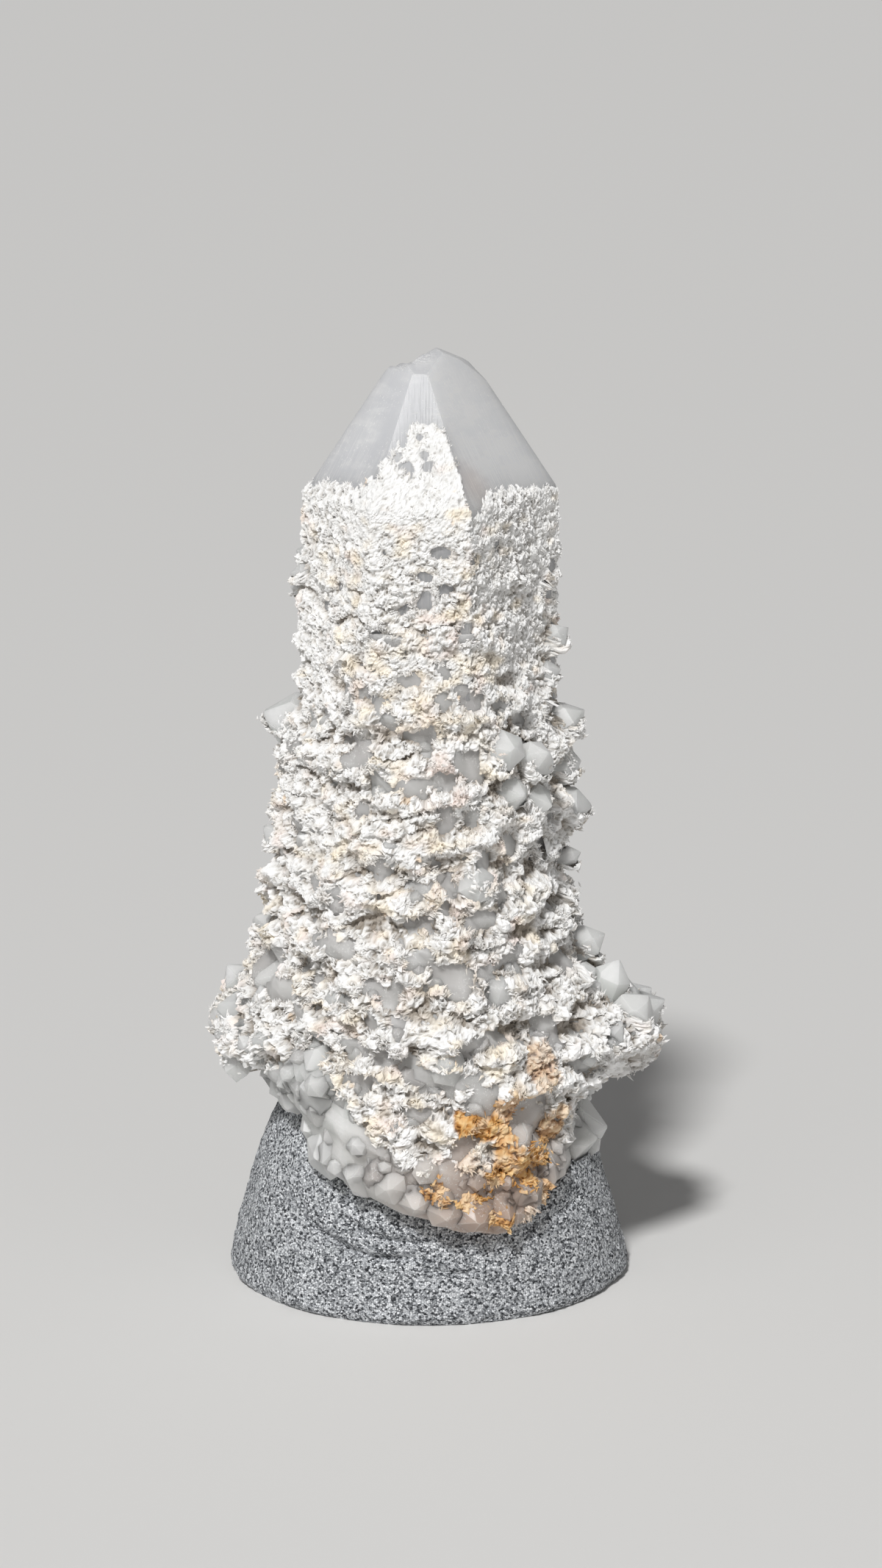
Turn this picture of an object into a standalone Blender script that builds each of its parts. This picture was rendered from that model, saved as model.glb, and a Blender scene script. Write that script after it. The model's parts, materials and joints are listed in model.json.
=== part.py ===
"""A quartz point, grown over with small crystals and a white bladed crust, seated on a moulded grey stand.

Run with: blender --background --python part.py
Lengths are metres, +Z is up, and the origin is the middle of the stand's flat underside.
The front of the specimen looks along -Y.
"""

import math
import random

import bmesh
import bpy
from mathutils import Matrix, Vector, noise

MM = 0.001

# The quartz point: six prism faces and six end faces, each turned 60 degrees from the last
APEX_HEIGHT = 189.9 * MM
PRISM_TOP = 162 * MM
PRISM_FOOT = 60 * MM
END_FACE_SLOPE = 60
FIRST_FACE_AZIMUTH = -90
FACE_DISTANCES = (25.1 * MM, 19.5 * MM, 24.9 * MM, 25.1 * MM, 20.1 * MM, 22.0 * MM)

# The blunt tip: shallow faces as (azimuth, slope, distance from the axis, height of a point on the face)
TIP_FACES = (
    (0, 5, 1.2 * MM, 189.9 * MM),
    (0, 27, 2.1 * MM, 189.8 * MM),
    (-5, 43, 7.2 * MM, 186.6 * MM),
    (180, 22, -0.2 * MM, 189.9 * MM),
    (176, 46, 7.0 * MM, 187.0 * MM),
    (95, 33, 2.0 * MM, 189.6 * MM),
    (-85, 20, 1.6 * MM, 189.6 * MM),
)

# The chip broken out at the left of the tip: a level shelf, then a rise to the tip
CHIP_SHELF = 186.5 * MM
CHIP_START = -3.4 * MM
CHIP_AZIMUTH, CHIP_SLOPE = -15, 142

# How far the grown-over body stands out from the prism: height, then right, back, left and front
GROWTH = (
    (166, 0.7, 0.7, 0.7, 0.7),
    (150, 1.0, 1.4, 1.2, 1.2),
    (135, 1.0, 2.2, 2.2, 2.0),
    (121, 1.8, 3.5, 3.0, 3.2),
    (110, 4.5, 5.0, 6.0, 4.5),
    (98, 4.5, 6.0, 6.8, 5.5),
    (86, 3.0, 7.0, 7.4, 7.0),
    (74, 4.6, 8.5, 8.4, 9.0),
    (62, 9.0, 10.5, 11.0, 11.5),
    (50, 12.0, 12.0, 11.0, 13.5),
    (43, 10.0, 11.5, 7.0, 14.0),
    (36, 6.5, 9.5, 1.5, 14.0),
    (26, 8.5, 7.0, 1.0, 13.5),
    (14, 9.0, 6.0, 1.0, 13.0),
)
ROUND_RADIUS = 26.5 * MM
ROUND_FROM, ROUND_BY, ROUND_SHARE = 135 * MM, 60 * MM, 0.7
CORNER_SPREAD, CORNER_DEPTH = 13, 45 * MM

# The two shoulders: azimuth, height, reach, spread in degrees, spread in height
SHOULDERS = (
    (186, 53 * MM, 7.0 * MM, 28, 8 * MM),
    (-6, 53 * MM, 10.0 * MM, 26, 8 * MM),
)

# The crust's upper edge and the broken lower edge: azimuth in degrees, height in mm
CRUST_EDGE = (
    (-175, 163.9), (-154, 165), (-132, 165), (-124, 166.5), (-118, 168.3), (-114, 171), (-104, 174.5),
    (-97, 177), (-84, 177.3), (-79, 176.6), (-76, 171), (-71, 160), (-66, 161.5), (-54, 164),
    (-31, 163.7), (-5, 163), (12, 162), (40, 165), (70, 168), (95, 174), (118, 166), (150, 162),
    (185, 163.9),
)
LOWER_EDGE = (
    (-180, 38.5), (-158, 38), (-137, 33.3), (-126, 29), (-112, 26.5), (-95, 23.3), (-77, 19.4),
    (-65, 18), (-52, 22.5), (-38, 25), (-12, 24), (20, 28), (60, 33), (95, 34), (140, 36), (180, 38.5),
)
UNDERSIDE_DIP = 19 * MM

COLUMNS = 54
ROWS = 36
UNDERSIDE_RINGS = 3
CRUST_LIP = 1.2 * MM
RIM_TUCK, RIM_TUCK_FROM = 2.4 * MM, 0.93
BODY_TOP = 152 * MM

# Lumps and ledges of the body, as the sizes of a swell across and up, and how high they stand
LUMP_WIDTH, LUMP_HEIGHT = 8.0 * MM, 5.2 * MM
LUMP_SHARE, DETAIL_SHARE, DETAIL_SCALE = 1.5, 0.5, 2.1
DETAIL_SHIFT = Vector((7, 3, 5))
LUMP_RELIEF = ((166, 0.15), (140, 0.9), (118, 2.0), (80, 2.6), (45, 2.6), (30, 1.6), (14, 0.6))

# Side crystals: azimuth, height, width, reach beyond the body, lift above the horizontal
SIDE_CRYSTALS = {
    "upper_left": (
        (180, 149, 4.0, 1.8, 20), (186, 145.5, 4.0, 1.7, 0), (179, 142, 3.4, 1.8, 10),
        (177, 115, 12.0, 4.6, 14), (183, 92, 6.5, 2.0, 35), (184, 74, 7.0, 1.2, 25),
    ),
    "left_shoulder": (
        (182, 62, 7.0, 2.4, 50), (190, 57, 8.0, 1.6, 22), (194, 52, 9.0, 1.2, 0), (172, 55, 8.0, 1.6, 30),
    ),
    "upper_right": (
        (6, 132, 5.0, 2.0, 35), (2, 125, 5.0, 1.6, 10), (6, 115, 7.5, 2.6, 30), (3, 106, 9.0, 2.0, 0),
        (3, 97, 8.0, 3.6, -5), (0, 87, 3.6, 2.0, 20), (0, 69, 8.0, 3.4, 25),
    ),
    "bare_cluster": (
        (-56, 114, 8.0, 3.0, 20), (-38, 111, 7.5, 3.2, 25), (-50, 105, 9.0, 3.0, 5), (-36, 102, 7.0, 2.6, -5),
    ),
    "right_shoulder": (
        (-7, 62, 7.5, 4.5, 68), (-12, 57, 8.5, 3.6, 48), (-2, 56, 7.5, 1.8, 25), (-7, 51, 8.0, 1.6, 5),
        (-2, 47, 8.0, 2.0, -14), (8, 55, 8.0, 3.0, 40),
    ),
    "lower_rim": (
        (-150, 42, 8.0, 1.0, 10), (-137, 36.5, 9.0, 1.6, 0), (-126, 33, 10.0, 1.8, 0),
        (-113, 31, 11.0, 2.0, -5), (-101, 30, 7.0, 1.8, 5), (-93, 27, 7.5, 1.8, -10),
        (-85, 25, 7.5, 1.8, -10), (-76, 23.5, 8.0, 1.8, -8), (-67, 22.5, 10.5, 2.0, -6),
        (-57, 26, 8.0, 1.6, 0), (-46, 30, 9.0, 1.8, 6), (-32, 33, 7.5, 1.6, 10),
        (-19, 30, 10.0, 2.6, 5), (-7, 31, 12.0, 3.6, 0),
    ),
    "front_bare": (
        (-104, 97, 8.0, 0.6, 20), (-73, 90, 7.5, 0.6, 25), (-120, 66, 9.0, 0.8, 20),
        (-66, 68, 9.0, 0.8, 30), (-84, 55, 8.0, 0.8, 20), (-62, 38, 12.0, 1.0, 15),
        (-100, 42, 10.0, 0.8, 10), (-128, 48, 10.0, 0.8, 20),
    ),
}
BACK_CRYSTALS = 15
BACK_AZIMUTHS = (28, 168)
BACK_HEIGHTS = (42, 148)
CRYSTAL_ROOT = 5 * MM
CRYSTAL_TIP = 0.6 * MM
CRYSTAL_SLOPES = (40, 50)
CRYSTAL_SIDES = (0.82, 1.0)
CRYSTAL_TOPS = (0.72, 0.98)
CRYSTAL_LEAN = 9

# The stand: outline as radius to the right and height, squeezed a little front to back
STAND_OUTLINE = (
    (40.2 * MM, 0.0), (41.2 * MM, 1.6 * MM), (40.6 * MM, 5 * MM),
    (38.7 * MM, 12.5 * MM), (36.9 * MM, 19 * MM), (35.2 * MM, 25 * MM),
    (32.4 * MM, 31 * MM), (29.8 * MM, 36 * MM), (26.5 * MM, 40 * MM),
)
STAND_DEPTH_SHARE = 0.9
STAND_STEPS = 36
STAND_WAVE, STAND_WAVE_WIDTH = 0.5 * MM, 14 * MM
SEAT_GAP = 0.4 * MM
SEAT_CUT_TOP = 70 * MM


def clear_scene():
    for obj in list(bpy.data.objects):
        bpy.data.objects.remove(obj)


def make_collection(name, hidden=False):
    collection = bpy.data.collections.new(name)
    bpy.context.scene.collection.children.link(collection)
    collection.hide_render = hidden
    return collection


def material(name, color, roughness):
    made = bpy.data.materials.new(name)
    made.use_nodes = True
    shader = made.node_tree.nodes["Principled BSDF"]
    shader.inputs["Base Color"].default_value = (*color, 1)
    shader.inputs["Roughness"].default_value = roughness
    shader.inputs["Metallic"].default_value = 0
    return made


def object_from(bm, name, collection):
    bmesh.ops.recalc_face_normals(bm, faces=bm.faces)
    mesh = bpy.data.meshes.new(name)
    bm.to_mesh(mesh)
    bm.free()
    obj = bpy.data.objects.new(name, mesh)
    collection.objects.link(obj)
    return obj


def smooth_step(t):
    t = min(1.0, max(0.0, t))
    return t * t * (3 - 2 * t)


def between(keys, at):
    """The value at a place along (place, value, ...) keys that rise or fall, eased between neighbours."""
    keys = sorted(keys)
    if at <= keys[0][0]:
        return keys[0][1:]
    for low, high in zip(keys, keys[1:]):
        if at <= high[0]:
            share = smooth_step((at - low[0]) / (high[0] - low[0]))
            return [a + (b - a) * share for a, b in zip(low[1:], high[1:])]
    return keys[-1][1:]


def around(azimuth):
    """An azimuth in degrees brought to the range from -180 to 180."""
    return (azimuth + 180) % 360 - 180


def facing(azimuth, slope=90):
    """The outward direction of a face: slope 90 is upright, slope 0 lies flat."""
    a, s = math.radians(azimuth), math.radians(slope)
    return Vector((math.cos(a) * math.sin(s), math.sin(a) * math.sin(s), math.cos(s)))


def point_faces():
    """Each face of the quartz point, as its direction and its distance from the origin."""
    faces = []
    for turn, distance in enumerate(FACE_DISTANCES):
        azimuth = FIRST_FACE_AZIMUTH + 60 * turn
        faces.append((facing(azimuth), distance))
        end = facing(azimuth, END_FACE_SLOPE)
        faces.append((end, end.dot(facing(azimuth) * distance + Vector((0, 0, PRISM_TOP)))))
    for azimuth, slope, out, height in TIP_FACES:
        tip = facing(azimuth, slope)
        faces.append((tip, tip.dot(facing(azimuth) * out + Vector((0, 0, height)))))
    return faces


def cut_crystal(faces, foot, size):
    """A block cut back to flat faces, each a direction and a distance, over a flat base at foot."""
    bm = bmesh.new()
    bmesh.ops.create_cube(bm, size=size)
    for direction, distance in [*faces, (Vector((0, 0, -1)), -foot)]:
        everything = bm.verts[:] + bm.edges[:] + bm.faces[:]
        on_face = direction * distance
        cut = bmesh.ops.bisect_plane(
            bm, geom=everything, plane_co=on_face, plane_no=direction, clear_outer=True, dist=1e-7
        )
        rim = [e for e in cut["geom_cut"] if isinstance(e, bmesh.types.BMEdge)]
        if rim:
            bmesh.ops.contextual_create(bm, geom=rim)
    return bm


def prism_radius(azimuth, height):
    """How far the quartz point reaches from its axis, along one azimuth at one height."""
    ray = facing(azimuth)
    reach = ROUND_RADIUS * 2
    for direction, distance in point_faces():
        run = direction.dot(ray)
        if run > 1e-6:
            reach = min(reach, (distance - direction.z * height) / run)
    return max(reach, 0.5 * MM)


def core_radius(azimuth, height):
    """The quartz point's reach with its corners rounded by what grew over them."""
    spread = CORNER_SPREAD * smooth_step((PRISM_TOP - height) / CORNER_DEPTH)
    reaches = [prism_radius(azimuth + spread * turn, height) for turn in (-1, -0.5, 0, 0.5, 1)]
    return sum(reaches) / len(reaches)


def growth(azimuth, height):
    """How thick the grown-over body is, blended round the four sides."""
    sides = between(GROWTH, height / MM)
    quarter = (azimuth % 360) / 90
    side = int(quarter) % 4
    share = smooth_step(quarter - int(quarter))
    return (sides[side] * (1 - share) + sides[(side + 1) % 4] * share) * MM


def shoulder(azimuth, height):
    reach = 0.0
    for middle, at, out, spread, tall in SHOULDERS:
        off = around(azimuth - middle) / spread
        up = (height - at) / tall
        reach += out * math.exp(-off * off - up * up)
    return reach


def lumps(place):
    """Ledges and lumps: a swell that is wider than it is high."""
    relief = between(LUMP_RELIEF, place.z / MM)[0] * MM
    seen = Vector((place.x / LUMP_WIDTH, place.y / LUMP_WIDTH, place.z / LUMP_HEIGHT))
    detail = noise.noise(seen * DETAIL_SCALE + DETAIL_SHIFT)
    return relief * (LUMP_SHARE * noise.noise(seen) + DETAIL_SHARE * detail)


def body_point(azimuth, height):
    """A point on the grown-over body's surface."""
    roundness = ROUND_SHARE * smooth_step((ROUND_FROM - height) / (ROUND_FROM - ROUND_BY))
    core = core_radius(azimuth, height)
    radius = core + (ROUND_RADIUS - core) * roundness + growth(azimuth, height) + shoulder(azimuth, height)
    place = facing(azimuth) * radius + Vector((0, 0, height))
    return place + facing(azimuth) * lumps(place)


def body_rings():
    """Rings of points from inside the quartz, out at the crust's edge, down the body and under it."""
    azimuths = [around(360 * k / COLUMNS) for k in range(COLUMNS)]
    tops = [between(CRUST_EDGE, a)[0] * MM for a in azimuths]
    feet = [between(LOWER_EDGE, a)[0] * MM for a in azimuths]
    lip = []
    for a, top in zip(azimuths, tops):
        lip.append(facing(a) * (prism_radius(a, top) - CRUST_LIP) + Vector((0, 0, top - CRUST_LIP)))
    rings = [lip]
    for row in range(ROWS + 1):
        share = row / ROWS
        ring = []
        for a, top, foot in zip(azimuths, tops, feet):
            height = top + (foot - top) * share
            tuck = RIM_TUCK * smooth_step((share - RIM_TUCK_FROM) / (1 - RIM_TUCK_FROM)) ** 2
            ring.append(body_point(a, height) - facing(a) * tuck)
        rings.append(ring)
    rim = rings[-1]
    for step in range(1, UNDERSIDE_RINGS + 1):
        share = 1 - step / (UNDERSIDE_RINGS + 1)
        rise = share * share
        rings.append(
            [Vector((p.x * share, p.y * share, UNDERSIDE_DIP + (p.z - UNDERSIDE_DIP) * rise)) for p in rim]
        )
    return rings


def grown_body(collection):
    """The lumpy body as a loft through its rings, closed by a fan inside the quartz and one underneath."""
    bm = bmesh.new()
    rings = [[bm.verts.new(p) for p in ring] for ring in body_rings()]
    for upper, lower in zip(rings, rings[1:]):
        for k in range(COLUMNS):
            n = (k + 1) % COLUMNS
            bm.faces.new((upper[k], lower[k], lower[n], upper[n]))
    inside = bm.verts.new((0, 0, BODY_TOP))
    under = bm.verts.new((0, 0, UNDERSIDE_DIP))
    for k in range(COLUMNS):
        n = (k + 1) % COLUMNS
        bm.faces.new((rings[0][k], rings[0][n], inside))
        bm.faces.new((rings[-1][n], rings[-1][k], under))
    return object_from(bm, "grown_body", collection)


def small_crystal(name, width, length, rng, collection):
    """A six-sided crystal along +Z from z = 0, with uneven faces like a real one."""
    faces = []
    radius = width / 2
    steep = rng.uniform(*CRYSTAL_SLOPES)
    point_height = radius * math.tan(math.radians(steep))
    turn = rng.uniform(0, 60)
    for k in range(6):
        azimuth = turn + 60 * k
        out = radius * rng.uniform(*CRYSTAL_SIDES)
        faces.append((facing(azimuth), out))
        end = facing(azimuth, steep)
        top = length - point_height * rng.uniform(*CRYSTAL_TOPS)
        faces.append((end, end.dot(facing(azimuth) * out + Vector((0, 0, top)))))
    return object_from(cut_crystal(faces, 0.0, 4 * (length + width)), name, collection)


def place_crystal(name, spec, rng, collection):
    azimuth, height, width, reach, lift = spec
    root = body_point(azimuth, height * MM)
    lean = facing(azimuth + rng.uniform(-CRYSTAL_LEAN, CRYSTAL_LEAN), 90 - lift)
    length = CRYSTAL_ROOT + reach * MM + CRYSTAL_TIP
    crystal = small_crystal(name, width * MM, length, rng, collection)
    start = root - lean * CRYSTAL_ROOT
    crystal.matrix_world = Matrix.Translation(start) @ lean.to_track_quat("Z", "Y").to_matrix().to_4x4()
    return crystal


def side_crystals(collection):
    rng = random.Random(11)
    for group, specs in SIDE_CRYSTALS.items():
        for number, spec in enumerate(specs):
            place_crystal(f"{group}_{number}", spec, rng, collection)
    low, high = BACK_HEIGHTS
    for number in range(BACK_CRYSTALS):
        height = high + (low - high) * ((number + 0.5) / BACK_CRYSTALS)
        width = rng.uniform(4.5, 6.5) + 3.0 * (high - height) / (high - low)
        spec = (rng.uniform(*BACK_AZIMUTHS), height, width, rng.uniform(1.2, 2.6), rng.uniform(0, 42))
        place_crystal(f"back_{number}", spec, rng, collection)


def add_boolean(obj, operation, other=None, collection=None, solver="EXACT"):
    modifier = obj.modifiers.new(operation.lower(), "BOOLEAN")
    modifier.operation = operation
    modifier.solver = solver
    if collection:
        modifier.operand_type = "COLLECTION"
        modifier.collection = collection
    else:
        modifier.object = other
    return modifier


def tip_chip(collection):
    """The piece broken out at the left of the tip, as a block that rises from its shelf."""
    rise = facing(CHIP_AZIMUTH, CHIP_SLOPE)
    start = Vector((CHIP_START, 0, CHIP_SHELF))
    bm = cut_crystal([(rise, rise.dot(start))], CHIP_SHELF, 4 * APEX_HEIGHT)
    cutter = object_from(bm, "tip_chip", collection)
    cutter.hide_render = True
    cutter.display_type = "WIRE"
    return cutter


def encrusted_crystal(part, cutters):
    """The whole specimen in one solid: the point, the grown-over body and the crystals on it."""
    point = object_from(cut_crystal(point_faces(), PRISM_FOOT, 4 * APEX_HEIGHT), "encrusted_crystal", part)
    crystals = make_collection("side_crystals", hidden=True)
    grown_body(crystals)
    side_crystals(crystals)
    add_boolean(point, "DIFFERENCE", other=tip_chip(cutters))
    add_boolean(point, "UNION", collection=crystals)
    point.data.materials.append(material("milky_quartz", (0.86, 0.85, 0.83), 0.45))
    return point


def stand(part, cutters, specimen):
    """The stand: a turned, squeezed block, with a seat cut by the specimen's own lower end."""
    bm = bmesh.new()
    outline = [bm.verts.new((r, 0, z)) for r, z in reversed(STAND_OUTLINE)]
    top = bm.verts.new((0, 0, STAND_OUTLINE[-1][1]))
    foot = bm.verts.new((0, 0, 0))
    chain = [top, *outline, foot]
    for a, b in zip(chain, chain[1:]):
        bm.edges.new((a, b))
    block = bpy.data.objects.new("stand", bpy.data.meshes.new("stand"))
    bm.to_mesh(block.data)
    bm.free()
    part.objects.link(block)
    turn = block.modifiers.new("turn", "SCREW")
    turn.steps = turn.render_steps = STAND_STEPS
    turn.use_merge_vertices = True
    turn.merge_threshold = 0.00001
    block.data = bpy.data.meshes.new_from_object(block.evaluated_get(bpy.context.evaluated_depsgraph_get()))
    block.modifiers.clear()
    for vertex in block.data.vertices:
        place = vertex.co
        if place.z > 1 * MM:
            swell = 1 + STAND_WAVE * noise.noise(place / STAND_WAVE_WIDTH) / STAND_OUTLINE[0][0]
            place.x, place.y = place.x * swell, place.y * swell
        place.y *= STAND_DEPTH_SHARE
    # The swollen cutter folds into itself in its hollows, which the exact solver cannot take
    add_boolean(block, "DIFFERENCE", other=seat_cutter(specimen, cutters), solver="MANIFOLD")
    block.data.materials.append(material("grey_granular", (0.42, 0.43, 0.44), 0.95))
    return block


def seat_cutter(specimen, cutters):
    """The specimen's lower end, swollen by the gap that keeps it clear of the stand."""
    graph = bpy.context.evaluated_depsgraph_get()
    mesh = bpy.data.meshes.new_from_object(specimen.evaluated_get(graph))
    bm = bmesh.new()
    bm.from_mesh(mesh)
    cut = bmesh.ops.bisect_plane(
        bm,
        geom=bm.verts[:] + bm.edges[:] + bm.faces[:],
        plane_co=(0, 0, SEAT_CUT_TOP),
        plane_no=(0, 0, 1),
        clear_outer=True,
    )
    rim = [e for e in cut["geom_cut"] if isinstance(e, bmesh.types.BMEdge)]
    bmesh.ops.holes_fill(bm, edges=rim, sides=0)
    bm.normal_update()
    moves = [v.normal * SEAT_GAP * (v.calc_shell_factor() if v.is_manifold else 1) for v in bm.verts]
    for vertex, move in zip(bm.verts, moves):
        vertex.co += move
    cutter = object_from(bm, "seat_cutter", cutters)
    cutter.hide_render = True
    cutter.display_type = "WIRE"
    return cutter


def main():
    clear_scene()
    part = make_collection("quartz_specimen_on_stand")
    cutters = make_collection("cutters", hidden=True)
    specimen = encrusted_crystal(part, cutters)
    bpy.context.view_layer.update()
    stand(part, cutters, specimen)
    bpy.context.view_layer.update()


main()
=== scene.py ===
# %% [markdown]
# # A quartz point in a bladed crust, on its moulded stand
#
# The specimen is a milky quartz crystal. Small quartz crystals grew on its sides, and over them came a
# white crust of thin blades, which iron has stained at the lower right. It rests in a stand of grey grains.
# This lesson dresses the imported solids: each step makes one of the things that grew, in the order in which
# they grew, because every later layer has to know where the earlier ones are.
#
# Arrays hold millimetres, and a mesh is turned to metres as it is made. Azimuth 0 is the right side,
# and -90 is the front.

# %% Load the frame
import json
import math
import random

import bmesh
import bpy
import numpy as np
from mathutils import Matrix, Vector, noise
from mathutils.bvhtree import BVHTree

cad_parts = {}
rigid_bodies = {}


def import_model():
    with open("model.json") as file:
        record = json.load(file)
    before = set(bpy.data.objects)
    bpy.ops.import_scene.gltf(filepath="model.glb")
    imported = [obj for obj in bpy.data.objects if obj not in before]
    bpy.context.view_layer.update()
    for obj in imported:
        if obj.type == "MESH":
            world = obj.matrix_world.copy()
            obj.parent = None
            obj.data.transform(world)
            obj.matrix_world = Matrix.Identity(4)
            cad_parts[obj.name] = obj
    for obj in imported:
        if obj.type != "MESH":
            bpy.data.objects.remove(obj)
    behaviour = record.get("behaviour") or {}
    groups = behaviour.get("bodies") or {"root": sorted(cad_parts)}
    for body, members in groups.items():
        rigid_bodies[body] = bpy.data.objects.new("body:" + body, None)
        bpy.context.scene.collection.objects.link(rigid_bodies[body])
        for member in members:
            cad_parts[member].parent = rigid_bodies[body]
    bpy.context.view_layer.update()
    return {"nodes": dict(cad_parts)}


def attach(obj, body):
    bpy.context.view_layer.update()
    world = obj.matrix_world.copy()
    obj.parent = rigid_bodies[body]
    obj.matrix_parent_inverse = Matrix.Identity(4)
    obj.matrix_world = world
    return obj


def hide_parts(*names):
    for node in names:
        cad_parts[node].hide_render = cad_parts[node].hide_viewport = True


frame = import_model()
MM = 0.001
SEED = 11
# Without this, the noise vectors used below would differ from run to run
noise.seed_set(SEED)

# %% [markdown]
# ## Where the camera stands
#
# The photo was taken from the front, a little from above, with a long lens: the stand's oval foot and the
# level line where the prism faces end give the tilt, and the widths give the distance.

# %% The camera
CAMERA_PLACE = (2.6, -737.4, 278.86)
CAMERA_TILT = 13.4835
LENS = 86.32

camera = bpy.data.objects.new("camera", bpy.data.cameras.new("camera"))
camera.location = Vector(CAMERA_PLACE) * MM
camera.rotation_euler = (math.radians(90 - CAMERA_TILT), 0, 0)
camera.data.lens = LENS
camera.data.sensor_width = 36
camera.data.clip_start, camera.data.clip_end = 0.05, 60
bpy.context.scene.collection.objects.link(camera)
bpy.context.scene.camera = camera
print("camera", [round(v, 3) for v in camera.location], "tilted down", CAMERA_TILT)

# %% [markdown]
# ## Sums with sockets
#
# A finish is a sum of masks and noises. Written as nodes by hand, such a sum fills a page, so a small class
# wraps a node's output: Python's own signs then add the Math nodes, and one method adds any other node.


# %% A socket that can be calculated with
class Socket:
    """One output of a node. Signs such as + and * on it add Math nodes."""

    def __init__(self, tree, link):
        self.tree = tree
        self.link = link

    def node(self, kind, settings=None, inputs=None, output=0):
        """Adds a node, sets its settings, then gives its sockets their values or links."""
        made = self.tree.nodes.new(kind)
        for name, setting in (settings or {}).items():
            if name == "stops":
                self.set_stops(made.color_ramp, setting)
            else:
                setattr(made, name, setting)
        for name, given in (inputs or {}).items():
            self.join(made.inputs, name, given)
        found = made.outputs[output] if made.outputs else None
        return Socket(self.tree, found)

    def join(self, sockets, name, given):
        """Links or sets one socket, found by its place or by its name as Blender keeps it."""
        found = sockets[name] if isinstance(name, int) else None
        for socket in sockets:
            if found is None and name in (socket.identifier, socket.name):
                found = socket
        if isinstance(given, Socket):
            self.tree.links.new(given.link, found)
        else:
            found.default_value = given

    def set_stops(self, ramp, stops):
        """A colour ramp's stops, as (place, colour)."""
        while len(ramp.elements) < len(stops):
            ramp.elements.new(0.5)
        for element, (place, color) in zip(ramp.elements, stops):
            element.position = place
            element.color = (*color, 1)

    def math(self, operation, first, second=0.0):
        return self.node("ShaderNodeMath", {"operation": operation}, {0: first, 1: second})

    def __add__(self, other):
        return self.math("ADD", self, other)

    def __sub__(self, other):
        return self.math("SUBTRACT", self, other)

    def __rsub__(self, other):
        return self.math("SUBTRACT", other, self)

    def __mul__(self, other):
        return self.math("MULTIPLY", self, other)

    __radd__ = __add__
    __rmul__ = __mul__

    def between(self, low, high):
        """0 below low, 1 above high and eased in between. The two may be given the other way round."""
        settings = {"interpolation_type": "SMOOTHSTEP"}
        return self.node("ShaderNodeMapRange", settings, {0: self, 1: low, 2: high})

    def noise(self, place, size, detail=2.0, roughness=0.5):
        """Noise whose hills are about size millimetres apart."""
        inputs = {"Vector": place, "Scale": 1 / (size * MM), "Detail": detail, "Roughness": roughness}
        return self.node("ShaderNodeTexNoise", None, inputs)

    def mix(self, share, first, second, blend="MIX"):
        """One colour where share is 0 and the other where it is 1."""
        settings = {"data_type": "RGBA", "blend_type": blend}
        inputs = {"Factor_Float": share, "A_Color": first, "B_Color": second}
        return self.node("ShaderNodeMix", settings, inputs, output=2)

    def vector(self, operation, first, second=(0, 0, 0), output=0):
        return self.node("ShaderNodeVectorMath", {"operation": operation}, {0: first, 1: second}, output)

    def attribute(self, name):
        """A number that the mesh keeps at each of its points."""
        return self.node("ShaderNodeAttribute", {"attribute_name": name}, output=2)


def new_finish(name, constants):
    """A material with one Principled shader. Gives the material, a start for sums, and the shader."""
    finish = bpy.data.materials.new(name)
    finish.use_nodes = True
    shader = finish.node_tree.nodes["Principled BSDF"]
    for socket, value in constants.items():
        shader.inputs[socket].default_value = value
    place = Socket(finish.node_tree, None).node("ShaderNodeTexCoord", output="Object")
    return finish, place, shader


def rgb(*levels):
    """A colour given as it looks on a screen, from 0 to 255, as the shader wants it."""
    return tuple((level / 255) ** 2.2 for level in levels) + (1,)


# %% [markdown]
# ## The shape that the solids share
#
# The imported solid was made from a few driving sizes: six prism faces, six end faces, and a body that swells
# from them. The same sizes are used here, so that each finer layer lies on the same surface. Heights,
# distances and radii are in millimetres, and angles in degrees.

# %% Driving sizes of the specimen
APEX_HEIGHT = 189.9
PRISM_TOP = 162
PRISM_FOOT = 60
END_FACE_SLOPE = 60
FIRST_FACE_AZIMUTH = -90
FACE_DISTANCES = (25.1, 19.5, 24.9, 25.1, 20.1, 22.0)

# The blunt tip: shallow faces as (azimuth, slope, distance from the axis, height of a point on the face)
TIP_FACES = (
    (0, 5, 1.2, 189.9),
    (0, 27, 2.1, 189.8),
    (-5, 43, 7.2, 186.6),
    (180, 22, -0.2, 189.9),
    (176, 46, 7.0, 187.0),
    (95, 33, 2.0, 189.6),
    (-85, 20, 1.6, 189.6),
)
CHIP_SHELF, CHIP_START = 186.5, -3.4
CHIP_AZIMUTH, CHIP_SLOPE = -15, 142

# How far the grown-over body stands out from the prism: height, then right, back, left and front
GROWTH = (
    (166, 0.7, 0.7, 0.7, 0.7),
    (150, 1.0, 1.4, 1.2, 1.2),
    (135, 1.0, 2.2, 2.2, 2.0),
    (121, 1.8, 3.5, 3.0, 3.2),
    (110, 4.5, 5.0, 6.0, 4.5),
    (98, 4.5, 6.0, 6.8, 5.5),
    (86, 3.0, 7.0, 7.4, 7.0),
    (74, 4.6, 8.5, 8.4, 9.0),
    (62, 9.0, 10.5, 11.0, 11.5),
    (50, 12.0, 12.0, 11.0, 13.5),
    (43, 10.0, 11.5, 7.0, 14.0),
    (36, 6.5, 9.5, 1.5, 14.0),
    (26, 8.5, 7.0, 1.0, 13.5),
    (14, 9.0, 6.0, 1.0, 13.0),
)
ROUND_RADIUS = 26.5
ROUND_FROM, ROUND_BY, ROUND_SHARE = 135, 60, 0.7
CORNER_SPREAD, CORNER_DEPTH = 13, 45

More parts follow.
